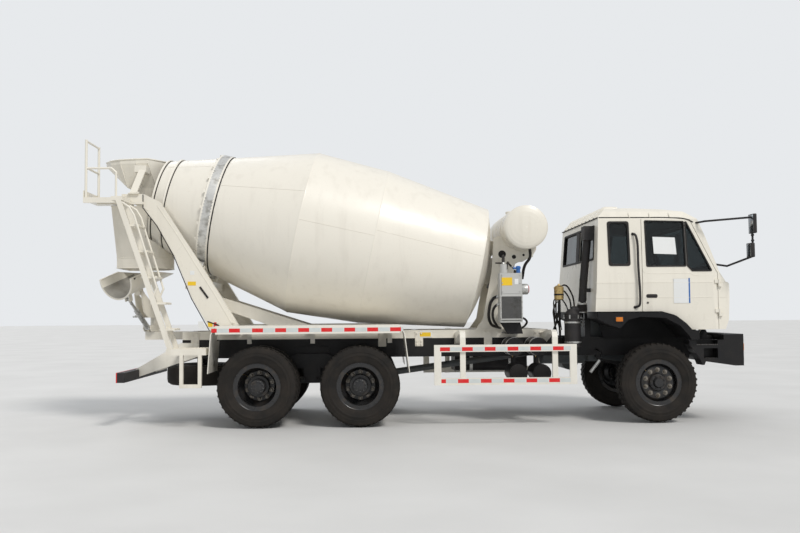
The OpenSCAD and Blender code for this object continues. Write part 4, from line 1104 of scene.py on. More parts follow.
@dataclass
class CabSkin(Assembly):
    """Rubber, mouldings, handles, wipers and lamps on the outside of the cab and its doors."""

    body: Body = Body.CAB
    rubber_depth: float = -9
    half_width: Sequence[Flat] = ((1190, 1150), (1616, 1160), (1810, 1160), (1960, 1145), (2640, 1075),
                                  (2750, 1000), (2820, 860))
    corner: Sequence[Flat] = ((700, 1165), (820, 1130), (925, 1112), (958, 1080), (970, 1000))
    nose: Sequence[Flat] = ((1202, 882), (1338, 935), (1618, 960), (1793, 955), (1818, 898), (1959, 802),
                            (2405, 650), (2645, 555), (2746, 396), (2785, 141))
    back: Sequence[Flat] = ((1440, -822), (2677, -742), (2806, -613))
    roof: Sequence[Flat] = ((-742, 2677), (-613, 2806), (-266, 2807), (141, 2785), (396, 2746), (555, 2645))
    door_window: Sequence[Flat] = ((-137, 2022), (372, 2022), (372, 2606), (-137, 2618))
    vent_window: Sequence[Flat] = ((394, 2024), (454, 1960), (706, 1960), (406, 2600), (394, 2600))
    quarter_window: Sequence[Flat] = ((-621, 2040), (-361, 2040), (-361, 2600), (-621, 2600))
    windscreen: Sequence[Flat] = ((-1010, 2020), (1010, 2020), (950, 2580), (-950, 2580))
    rear_window: Sequence[Flat] = ((-930, 2130), (930, 2130), (890, 2570), (-890, 2570))

    def flank(self, x: float, z: float, side: int, proud: float = 0.0) -> Vector:
        """Place on the cab's side, or a height above it."""
        width = min(lerp(self.half_width, z), lerp(self.corner, x) if x > 700 else 1165)
        return at(x, side * (width + proud), z)

    def face(self, y: float, z: float, proud: float = 0.0) -> Vector:
        """Place on the cab's front, or a height above it."""
        rim = [(width, x) for x, width in reversed(self.corner)]
        x = min(lerp(self.nose, z), lerp(rim, abs(y)) if abs(y) > 1000 else 970)
        return at(x + proud, y, z)

    def rear(self, y: float, z: float, proud: float = 0.0) -> Vector:
        """Place on the cab's back wall, or a height behind it."""
        return at(lerp(self.back, z) - proud, y, z)

    def frame(self, outline: Sequence[Flat], surface: Surface, corner: float, lip: float = 13,
              lap: float = 15) -> bpy.types.Object:
        """A window's rubber, which covers the sharp corners of its opening."""
        outer, inner = rounded(inset(outline, -lip), corner * 0.5 + 12), rounded(inset(outline, lap), corner)
        return gasket(outer, inner, surface, 0.034)

    def windows(self) -> None:
        """Fits the rubber of every window."""
        fixed = []
        for side in (1, -1):
            def wall(x: float, z: float) -> Vector:
                """Place a little inside this side of the cab."""
                return self.flank(x, z, side, self.rubber_depth)

            fixed.append(self.frame(self.quarter_window, wall, 48))
            panes = self.frame(self.door_window, wall, 16, 8, 8), self.frame(self.vent_window, wall, 14, 8, 8)
            self.keep(joined(*panes), f"door_rubber_{sides(side)}", Palette.seal, door_body(side))
        fixed.append(self.frame(self.rear_window, lambda y, z: self.rear(y, z, self.rubber_depth), 40))
        corners = [self.rear(y, z) for y, z in ((-86, 2122), (86, 2122), (86, 2578), (-86, 2578))]
        fixed.append(sheet(corners, 0.008))
        fixed.append(self.frame(self.windscreen, lambda y, z: self.face(y, z, self.rubber_depth), 60, 16, 18))
        self.keep(joined(*fixed), "cab_rubber", Palette.seal)

    def beads(self) -> None:
        """Pressed lines along the doors and the cab, and the pressing on the front."""
        for side in (1, -1):
            def line(spots: Sequence[Flat], proud: float) -> list[Vector]:
                """Points on this side of the cab."""
                return [self.flank(x, z, side, proud) for x, z in spots]

            parts, panel = [], []
            for z in (1616, 1810):
                for group, run in ((parts, (-818, -520, -224)), (parts, (800, 820, 860, 900, 935)),
                                   (panel, (-203, 300, 700, 774))):
                    group.append(bar(line([(x, z) for x in run], 0.4), 3))
            sweep = [(-196, 1972), (-176, 1945), (-120, 1932), (376, 1930), (430, 1925), (470, 1905),
                     (760, 1905)]
            panel.append(pipe(line(sweep, 0.2), 3))
            flap = rounded([(590, 1336), (757, 1336), (757, 1396), (590, 1396)], 10, 3)
            panel.append(bar(line(flap, 0.2), 2, closed=True))
            self.keep(joined(*parts), f"cab_beads_{sides(side)}", Palette.cream)
            self.keep(joined(*panel), f"door_beads_{sides(side)}", Palette.cream, door_body(side))

    def gutters(self) -> None:
        """Roof gutter, and the ribs pressed into the roof and its back."""
        runs = []
        for side in (1, -1):
            line = [(-734, 2665), (-171, 2664), (207, 2660), (414, 2640), (500, 2600)]
            runs.append(pipe([self.flank(x, z, side, 3) for x, z in line], 7))
        runs.append(pipe([at(-752, y, 2664) for y in (-1068, -500, 500, 1068)], 7))
        self.keep(joined(*runs), "roof_gutter", Palette.seal)
        ribs = []
        for i in range(9):
            y = -860 + i * 215
            spine = [(-736, 2676), (-690, 2726), (-613, 2803), (-560, 2809), (-440, 2806)]
            ribs.append(pipe([at(x, y, z - 14) for x, z in spine], 37, sides_round=6))
        for x in (-330, -60, 200):
            top = lerp(self.roof, x)
            half = [(400, top - 3), (880, top - 8), (1020, 2725), (1068, 2668)]
            arc = [*((-y, z) for y, z in reversed(half)), *half]
            ribs.append(pipe([at(x, y, z - 4) for y, z in arc], 9))
        self.keep(joined(*ribs), "roof_ribs", Palette.cream)

    def handles(self) -> None:
        """Door handles with their locks, and the grab bars behind the doors."""
        for side in (1, -1):
            body = door_body(side)
            bowl = rounded([(-160, 1613), (-14, 1613), (-14, 1661), (-160, 1661)], 22)
            rim = rounded([(-152, 1620), (-22, 1620), (-22, 1654), (-152, 1654)], 16)
            frame = gasket(bowl, rim, lambda x, z: self.flank(x, z, side, 1), 0.008)
            back = plate(rim, Plane.SIDE, y_span(side, 1157, 1161.5), 0.5)
            paddle = slab((-138, -36), y_span(side, 1160, 1168), (1634, 1651), 3, 3)
            self.keep(joined(frame, back, paddle), f"door_handle_{sides(side)}", Palette.plastic, body)
            lock = turned([(2, 0), (11, 0), (14, 2), (14, 5), (10, 7), (3, 7), (2, 5)],
                          at(-142, side * 1159, 1551), outward(side), 24)
            self.keep(lock, f"door_lock_{sides(side)}", Palette.nut, body)
            spine = [(-300, 2444, 2), (-286, 2440, 30), (-268, 2400, 42), (-262, 2000, 44), (-254, 1560, 44),
                     (-262, 1516, 34), (-306, 1494, 2)]
            grip = pipe([self.flank(x, z, side, proud) for x, z, proud in spine], 15, sides_round=4)
            boss = [(3, -2), (20, -2), (20, 4), (14, 8), (3, 8)]
            feet = [turned(boss, self.flank(x, z, side), outward(side), 20)
                    for x, z in ((-302, 2444), (-308, 1494))]
            self.keep(joined(grip, *feet), f"grab_bar_{sides(side)}", Palette.plastic)

    def wipers(self) -> None:
        """Two wipers parked along the windscreen's lower edge."""
        for name, y in (("a", 620), ("b", -300)):
            arm, blade = (pipe([self.face(y - back, z, proud) for back, z, proud in run], radius)
                          for run, radius in ((((0, 1975, 18), (180, 2030, 22), (430, 2090, 20)), 5),
                                              (((700, 2118, 14), (430, 2090, 16), (160, 2062, 14)), 6)))
            boss = turned([(2, -25), (16, -25), (16, 18), (11, 26), (2, 26)], self.face(y, 1975),
                          Vector((0.9, 0, 0.42)), 20)
            self.keep(joined(arm, blade, boss), f"wiper_{name}", Palette.plastic)

    def grille(self) -> None:
        """Slatted air intake in the front panel, with a bare trim bar above it."""
        slats = [slab((948, 966), (-560, 560), (1400 + i * 36, 1418 + i * 36), 4, 2) for i in range(7)]
        frame = [slab((944, 968), (-600, 600), z, 5, 2) for z in ((1370, 1392), (1652, 1674))]
        frame += [slab((944, 968), y, (1370, 1674), 5, 2) for y in ((-600, -572), (572, 600))]
        self.keep(joined(*slats, *frame), "grille", Palette.plastic)
        self.keep(slab((950, 966), (-420, 420), (1700, 1745), 6, 3), "trim_bar", Palette.zinc)

    def lamps(self) -> None:
        """Roof marker lamps, and the amber lamps on the arches."""
        for name, y in (("a", -720), ("b", 0), ("c", 720)):
            top = 2746 - abs(y) * 0.012
            shell = slab((358, 432), (y - 52, y + 52), (top - 12, top + 34), 16, 4)
            self.keep(shell, f"roof_lamp_{name}", Palette.amber)
        for side in (1, -1):
            base = slab((-587, -483), y_span(side, 1219, 1224), (1304, 1376), 4, 2)
            lens = slab((-579, -491), y_span(side, 1223, 1240), (1312, 1368), 7, 3)
            self.keep(base, f"side_lamp_base_{sides(side)}", Palette.plastic)
            self.keep(lens, f"side_lamp_{sides(side)}", Palette.amber)

    def papers(self) -> None:
        """Blank sheets taped to the right door and its window."""
        for name, x, top, finish in (("sheet", (198, 392), 1858, Palette.white),
                                     ("sheet_edge", (394, 412), 1866, Palette.blue)):
            self.keep(block(x, (-1163, -1161), (1544, top)), f"door_{name}", finish, Body.DOOR_RIGHT)
        spots = [self.flank(x, z, -1, -5) for x, z in ((-36, 2187), (262, 2176), (250, 2398), (-42, 2408))]
        self.keep(sheet(spots, 0.001), "window_sheet", Palette.white, Body.DOOR_RIGHT)

    def mirror_glass(self) -> None:
        """Silvered panes and rounded covers on the mirrors."""
        for side in (1, -1):
            panes, covers = [], []
            for x, y, z in (((1140, 1180), (1300, 1450), (2424, 2667)),
                            ((1105, 1150), (1300, 1440), (2118, 2297))):
                cover, glass = y_span(side, y[0] - 3, y[1] + 3), y_span(side, y[0] + 10, y[1] - 10)
                covers.append(slab((x[0] + 4, x[1] + 6), cover, (z[0] - 3, z[1] + 3), 14, 4))
                panes.append(slab((x[0] - 2, x[0] + 2), glass, (z[0] + 10, z[1] - 10), 1.5, 2))
            clamps = [slab((1135, 1165), y_span(side, 1366, 1404), (z - 12, z + 12), 4, 2)
                      for z in (2400, 2330, 2150)]
            self.keep(joined(*panes), f"mirror_glass_{sides(side)}", Palette.mirror)
            self.keep(joined(*covers, *clamps), f"mirror_covers_{sides(side)}", Palette.plastic)

    def liners(self) -> None:
        """Black plates between the wheel arches and the engine."""
        outline = [(-620, 1290), (-560, 1080), (560, 1080), (640, 1190), (640, 1446), (-620, 1446)]
        for side in (1, -1):
            liner = plate(outline, Plane.SIDE, y_span(side, 500, 507))
            self.keep(liner, f"arch_liner_{sides(side)}", Palette.arch)

    def build(self) -> None:
        """Dresses the cab's outside."""
        for part in (self.liners, self.windows, self.beads, self.gutters, self.handles, self.wipers,
                     self.grille, self.lamps, self.papers, self.mirror_glass):
            part()


@dataclass
class CabRoom(Assembly):
    """Seats, dashboard, console and steering wheel, which stand for the model's plain interior."""

    body: Body = Body.CAB
    hub: Point = (400, 550, 1990)
    foot: Point = (640, 550, 1800)

    def pad(self, x: Flat, y: Flat, z: Flat, channels: int) -> bpy.types.Object:
        """A crowned cushion with sewn channels across its width.

        Args:
            x: Its length, before it swells.
            y: Its width.
            z: Its thickness.
            channels: How many seams are sewn into its upper face.

        Returns:
            The cushion.
        """
        piece = block(x, y, z)
        with editing(piece):
            bpy.ops.mesh.select_all(action="SELECT")
            bpy.ops.mesh.subdivide(number_cuts=11)
        low, high = at(x[0], y[0], z[0]), at(x[1], y[1], z[1])
        middle, half = (low + high) / 2, (high - low) / 2
        for i in range(channels):
            line = low.y + (high.y - low.y) * (i + 1) / (channels + 1)
            choose(piece, lambda c, n: (n.z > 0.9 and abs(c.y - line) < half.y / 9
                                        and abs(c.x - middle.x) < half.x * 0.8))
            with editing(piece):
                bpy.ops.transform.translate(value=(0, 0, -0.014))
        modify(piece, "CAST", factor=0.10, cast_type="SPHERE", use_x=True, use_y=True, use_z=False)
        modify(piece, "SUBSURF", levels=1, render_levels=1)
        return smooth(soften(piece, 1.0, 1), 60)

    def seat(self, name: str, y: float, half: float) -> None:
        """One seat on its box, with a leaning back."""
        width = y - half + 4, y + half - 4
        cushion = self.pad((-596, -44), width, (1748, 1884), 3)
        back = self.pad((-300, 300), width, (-60, 50), 3)
        lean = Matrix.Translation(at(-568, 0, 2186)) @ Matrix.Rotation(math.radians(-81), 4, "Y")
        back.data.transform(lean @ Matrix.Translation((-FRONT_AXLE_X / 1000, 0, 0)))
        self.furnish(cushion, f"seat_{name}", Palette.seat)
        self.furnish(back, f"seat_back_{name}", Palette.seat)
        box = slab((-560, -80), (y - half + 40, y + half - 40), (1486, 1752), 8, 2)
        self.furnish(box, f"seat_box_{name}", Palette.plastic)

    def furnish(self, piece: bpy.types.Object, name: str, finish: Finish) -> None:
        """Keeps a piece that stands for the model's plain interior."""
        self.keep(piece, name, finish, stands_for=["cab_interior"])

    def build(self) -> None:
        """Furnishes the cab."""
        for name, y, half in (("right", -550, 240), ("middle", 0, 190), ("left", 550, 240)):
            self.seat(name, y, half)
        top = [(562, 1642), (884, 1642), (888, 1780), (838, 1812), (748, 1938), (655, 1952), (590, 1890)]
        dash = plate(top, Plane.SIDE, (-965, 965), 12, 3)
        hood = plate([(560, 1900), (600, 1900), (700, 1945), (700, 1985), (640, 1990), (575, 1960)],
                     Plane.SIDE, (390, 710), 10, 3)
        vents = [slab((572, 590), (y - 70, y + 70), (1800, 1850), 4, 2) for y in (-780, -300, 180, 860)]
        self.furnish(joined(dash, hood, *vents), "dashboard", Palette.dash)
        tunnel = slab((-78, 700), (-168, 168), (1486, 1600), 24, 4)
        lever = pipe(path((150, 80, 1600), (170, 110, 1780), (120, 120, 1900)), 9)
        knob = turned([(1, -22), (16, -20), (24, 0), (16, 20), (1, 22)], at(118, 120, 1915), UP, 20)
        self.furnish(joined(tunnel, lever, knob), "console", Palette.dash)
        hub, foot = at(*self.hub), at(*self.foot)
        axis = (hub - foot).normalized()
        section = [(215 + 15 * math.cos(a), 15 * math.sin(a)) for a in (i * math.tau / 10 for i in range(10))]
        rim = turned(section, hub, axis, 64, angle=60)
        centre = turned([(2, -30), (44, -26), (52, -6), (46, 8), (2, 12)], hub, axis, 32)
        column = pipe([foot, hub - axis * 0.02], 28, sides_round=5, sharp=True)
        across = axis.cross(LEFTWARD).normalized()
        spokes = []
        for turn in (90, 210, 330):
            way = across * math.cos(math.radians(turn)) + LEFTWARD * math.sin(math.radians(turn))
            spokes.append(pipe([hub - axis * drop + way * reach
                                for drop, reach in ((0.012, 0.04), (0.008, 0.13), (0, 0.208))], 10))
        self.furnish(joined(rim, centre, column, *spokes), "steering_wheel", Palette.plastic)


def sheet(points: Sequence[Vector], depth: float) -> bpy.types.Object:
    """A thin flat sheet between corners in metres, with a thickness in metres."""
    piece = outline_ring(points)
    with editing(piece, "EDGE"):
        bpy.ops.mesh.select_all(action="SELECT")
        bpy.ops.mesh.edge_face_add()
    modify(piece, "SOLIDIFY", thickness=depth, offset=0)
    with editing(piece):
        face_outward()
    return smooth(piece)


def teeth(x: Flat, y: Flat, z: float, counts: tuple[int, int], size: Point) -> bpy.types.Object:
    """Raised bars over a walked-on surface, every other one turned crosswise.

    Args:
        x: Limits of the surface along the truck.
        y: Its limits across the truck.
        z: Height of the surface.
        counts: Bars along each side.
        size: Length, width and height of a bar.

    Returns:
        The bars.
    """
    tooth = cleat(size[0] / 2, size[1] / 2, (-1, size[2]), 1.2)
    places = []
    for i in range(counts[0]):
        for k in range(counts[1]):
            u, v = (a[0] + (a[1] - a[0]) * (n + 0.5) / count for a, n, count in zip((x, y), (i, k), counts))
            turn = Matrix.Rotation(math.radians(45 if (i + k) % 2 else -45), 4, "Z")
            places.append(Matrix.Translation(at(u, v, z)) @ turn)
    return copied(tooth, places)


# Hoses as their radius and the points of their middle line, in millimetres from the front axle.
HOSES: Sequence[tuple[float, Sequence[Point]]] = (
    (20, ((-2028, -860, 1654), (-2100, -850, 1620), (-2150, -800, 1460), (-2110, -640, 1300),
          (-1990, -425, 1240))),
    (17, ((-2028, -880, 1554), (-2085, -865, 1510), (-2105, -830, 1390), (-2050, -740, 1280),
          (-1940, -425, 1225))),
    (17, ((-1970, -930, 2068), (-1962, -890, 2150), (-1940, -720, 2190), (-1910, -470, 2080),
          (-1880, -150, 1880))),
    (13, ((-1838, -900, 2026), (-1868, -860, 2060), (-1870, -640, 2110), (-1850, -380, 2020),
          (-1870, -110, 1870))),
    (14, ((-1742, -860, 1384), (-1670, -840, 1340), (-1645, -700, 1280), (-1700, -425, 1200))),
    (11, ((-1160, -640, 1200), (-1190, -640, 1560), (-1120, -630, 1800), (-1010, -610, 1700),
          (-930, -560, 1380), (-800, -420, 1330))),
    (11, ((-1170, -600, 1200), (-1215, -590, 1500), (-1150, -580, 1730), (-1040, -560, 1650),
          (-960, -500, 1350), (-800, -400, 1290))),
    (9, ((-1150, -560, 1200), (-1230, -560, 1440), (-1190, -545, 1640), (-1080, -530, 1560),
         (-980, -470, 1300), (-800, -390, 1250))),
    (12, ((-1250, -890, 1600), (-1290, -830, 1500), (-1250, -640, 1340), (-1180, -432, 1150))))


@dataclass
class Machinery(Assembly):
    """Oil cooler, hoses, air cleaner, canisters and tanks between the cab and the drum."""

    cooler_x: Flat = (-2030, -1740)
    cooler_y: float = -1010
    core_z: Flat = (1358, 1646)

    def cooler(self) -> None:
        """Fins, frame, screws and blank labels of the oil cooler, and the filter beside it."""
        x, y, z = self.cooler_x, self.cooler_y, self.core_z
        fin = block((x[0] + 17, x[0] + 20), (y - 16, y + 2), z)
        step = (x[1] - x[0] - 37) / 30
        fins = copied(fin, [Matrix.Translation((i * step / 1000, 0, 0)) for i in range(31)])
        self.keep(fins, "cooler_fins", Palette.fins)
        self.keep(block((x[0] + 14, x[1] - 14), (y - 13, y - 11), z), "cooler_core", Palette.seal)
        wide = x[0] - 2, x[1] + 2
        edges = [slab(u, (y - depth, y), w, 2, 1) for u, depth, w in (
            (wide, 20, (z[0] - 14, z[0])), (wide, 20, (z[1], z[1] + 14)), ((x[0] - 2, x[0] + 14), 20, z),
            ((x[1] - 14, x[1] + 2), 20, z), ((x[0] + 20, x[1] - 20), 17, (1684, 1694)))]
        self.keep(joined(*edges), "cooler_frame", Palette.grey)
        spots = [at(u, y - 20, w) for u in (x[0] + 6, x[1] - 6) for w in (1365, 1430, 1502, 1574, 1639)]
        spots += [at(u, y - 12, w) for u in (x[0] + 30, x[1] - 30) for w in (1710, 1820, 1925)]
        self.keep(bolts(spots, -LEFTWARD, 11), "cooler_screws", Palette.zinc)
        for name, u, w, finish in (("label", (-2009, -1871), (1789, 1893), Palette.yellow),
                                   ("tag", (-1840, -1791), (1805, 1875), Palette.white)):
            self.keep(slab(u, (y - 14, y - 12), w, 0.5, 1), f"cooler_{name}", finish)
        centre = at(x[1] - 3, -930, 1742)
        can = turned([(2, 0), (50, 0), (66, 4), (70, 12), (70, 80), (64, 90), (52, 94), (2, 94)],
                     centre, AHEAD, 40)
        self.keep(can, "oil_filter", Palette.zinc)
        cap = turned([(2, 92), (50, 92), (51, 98), (46, 102), (2, 103)], centre, AHEAD, 32)
        self.keep(cap, "oil_filter_cap", Palette.red)
        valve = turned([(2, 0), (26, 0), (28, 8), (28, 60), (34, 64), (34, 84), (22, 98), (2, 98)],
                       at(-1771, -900, 1951), UP, 28)
        stub = turned([(2, 0), (14, 0), (14, 52), (18, 54), (18, 66), (2, 66)],
                      at(-1771, -900, 2011), Vector((-1, 0, 0.2)), 20)
        self.keep(joined(valve, stub), "cooler_valve", Palette.blue)
        middle = at(-1885, -782, 1500)
        wires = [hoop(inner, size, middle, LEFTWARD, 40, slope=0) for inner, size in (
            ((100, -18), (12, 18)), *(((30 + i * 18, -10), (4, 4)) for i in range(4)))]
        hub = turned([(2, -16), (30, -16), (30, 4), (2, 6)], at(-1885, -790, 1500), LEFTWARD, 24)
        self.keep(joined(hub, *wires), "cooler_fan_guard", Palette.dark)
        bracket = plate([(-2022, 1309), (-1931, 1166), (-1721, 1165), (-1753, 1309)], Plane.SIDE,
                        (-904, -897))
        shelf = slab((-1931, -1721), (-904, -426), (1160, 1170), 1.5, 1)
        self.keep(joined(bracket, shelf), "cooler_bracket", Palette.black)

    def hoses(self) -> None:
        """Black hoses with their bright ends."""
        lines, ends = [], []
        for radius, run in HOSES:
            points = path(*run)
            lines.append(pipe(points, radius))
            wide, narrow = radius + 4, radius + 1.5
            for end, inner in ((points[0], points[1]), (points[-1], points[-2])):
                ends.append(turned([(2, 0), (wide, 0), (wide, 18), (narrow, 20), (narrow, 34), (2, 34)],
                                   end, inner - end, 16))
        self.keep(joined(*lines), "hoses", Palette.hose)
        self.keep(joined(*ends), "hose_ends", Palette.zinc)

    def intake(self) -> None:
        """Bands and clips of the air cleaner, its bellows and the brass canister behind it."""
        place = at(-1047, -820, 0)
        bands = [hoop((104, z), (5, 24), place, UP, 56) for z in (1030, 1290)]
        lid = turned([(104, 1372), (113, 1374), (113, 1394), (104, 1398)], place, UP, 56)
        clip = slab((-1047 + 106, -1047 + 118), (-829, -811), (1350, 1400), 2, 1)
        there, back = Matrix.Translation(place), Matrix.Translation(-place)
        clips = copied(clip, [there @ Matrix.Rotation(math.radians(turn), 4, "Z") @ back
                              for turn in range(-120, 181, 60)])
        self.keep(joined(*bands, clips), "air_cleaner_bands", Palette.zinc)
        self.keep(lid, "air_cleaner_lid", Palette.plastic)
        place = at(-915, -820, 0)
        rings = [turned([(60, z - 7), (68, z - 5), (72, z), (68, z + 5), (60, z + 7)], place, UP, 40)
                 for z in range(1452, 1536, 14)]
        self.keep(joined(*rings), "bellows", Palette.hose)
        clamps = [hoop((61, z), (5, 12), place, UP, 40, slope=1) for z in (1428, 1536)]
        self.keep(joined(*clamps), "bellows_clamps", Palette.zinc)
        place = at(-1236, -890, 1597)
        can = turned([(2, 0), (40, 0), (58, 10), (62, 24), (62, 150), (66, 152), (66, 166), (60, 170),
                      (44, 186), (18, 196), (12, 214), (2, 214)], place, UP, 40)
        self.keep(can, "canister", Palette.brass)
        stand = bar([at(-1236, y, z) for y, z in (
            (-890, 1600), (-880, 1480), (-700, 1300), (-432, 1150))], 14)
        band = hoop((61, 60), (4, 22), place, UP, 40, slope=1)
        post = slab((-1185, -1160), (-640, -600), (1098, 1780), 4, 1)
        foot = slab((-1200, -1145), (-640, -428), (1070, 1100), 4, 1)
        self.keep(joined(stand, band, post, foot), "canister_stand", Palette.black)

    def tanks(self) -> None:
        """Straps, seams and taps of the air tanks, the fuel tank and the water tank."""
        bright, black, taps = [], [], []
        for strapped, x, z in ((bright, -1830, 991), (bright, -1521, 991),
                               (black, -1790, 643), (black, -1480, 643)):
            middle = at(x, 0, z)
            strapped += [hoop((116, y), (5, 31), middle, LEFTWARD, 48, slope=1) for y in (-880, -540)]
            black += [hoop((116, y), (3.5, 8), middle, LEFTWARD, 48, slope=1) for y in (-926, -492)]
            taps.append(turned([(1, 0), (9, 0), (9, 16), (5, 18), (5, 30), (1, 30)],
                               at(x, -700, z - 116), -UP, 12))
        self.keep(joined(*bright), "air_tank_straps", Palette.zinc)
        self.keep(joined(*black), "air_tank_seams", Palette.black)
        self.keep(joined(*taps), "air_tank_taps", Palette.brass)
        outline = [(500, 590), (1120, 590), (1120, 1060), (500, 1060)]
        rim, hole = rounded(inset(outline, -4), 74), rounded(inset(outline, 0.5), 70)
        bands = [gasket(rim, hole, lambda y, z: at(x, y, z), 0.045) for x in (-2250, -1680)]
        self.keep(joined(*bands), "fuel_tank_straps", Palette.zinc)
        cap = turned([(2, 34), (60, 34), (64, 38), (64, 58), (58, 64), (2, 66)],
                     at(-2350, 1000, 1059), UP, 32)
        self.keep(cap, "fuel_tank_cap", Palette.plastic)
        middle = at(-1640, 0, 2572)
        seams = [hoop((287, y - 6), (5, 12), middle, LEFTWARD, 72) for y in (-800, 0, 800)]
        self.keep(joined(*seams), "water_tank_seams", Palette.cream)
        belts = [hoop((289, y - 26), (4.5, 52), middle, LEFTWARD, 72) for y in (-410, 410)]
        lid = turned([(2, 328), (74, 328), (78, 332), (78, 348), (70, 354), (2, 356)],
                     at(-1640, 500, 2572), UP, 32)
        self.keep(joined(*belts, lid), "water_tank_belts", Palette.cream)
        glass = bar([at(-1640, y, z) for y, z in ((858, 2380), (882, 2400), (882, 2740), (846, 2765))], 9)
        outlet = pipe(path((-1560, -600, 2296), (-1560, -600, 2180), (-1620, -560, 2080),
                           (-1640, -430, 1900)), 20)
        self.keep(joined(glass, outlet), "water_pipes", Palette.hose)
        # Painted shade: dark discs and a dark bar stand for the shaded insides of the front pedestal's holes
        # and slot.
        hole_shades = [turned([(1, -2), (r, -2), (r, 3), (r - 4, 5), (1, 5)], at(x, -420, z), -LEFTWARD, 28)
                 for x, z, r in ((-1747, 2200, 28), (-1615, 2224, 16), (-1910, 2237, 52))]
        hole_shades.append(slab((-2005, -1878), (-424, -418), (2106, 2124), 3, 2))
        self.keep(joined(*hole_shades), "pedestal_hole_shades", Palette.seal)

    def gearbox(self) -> None:
        """Bolts and ribs of the drum's gearbox and its motor."""
        drum = Drum()
        centre, axis = at(*drum.middle), drum.axis()
        rings = []
        for s, radius, count, size in ((2754, 215, 16, 18), (2953, 170, 12, 16)):
            spots = [drum.beside(s, 360 * (i + 0.5) / count, radius) for i in range(count)]
            rings.append(bolts(spots, axis, size))
        self.keep(joined(*rings), "gearbox_bolts", Palette.nut)
        hoops = [hoop((190, s), (10, 14), centre, axis, 56) for s in (2800, 2860, 2930)]
        tail = hoop((60, 3010), (35, 22), centre, axis, 40)
        self.keep(joined(*hoops, tail), "gearbox_hoops", Palette.dark)

    def build(self) -> None:
        """Dresses everything between the cab and the drum."""
        self.cooler()
        self.hoses()
        self.intake()
        self.tanks()
        self.gearbox()


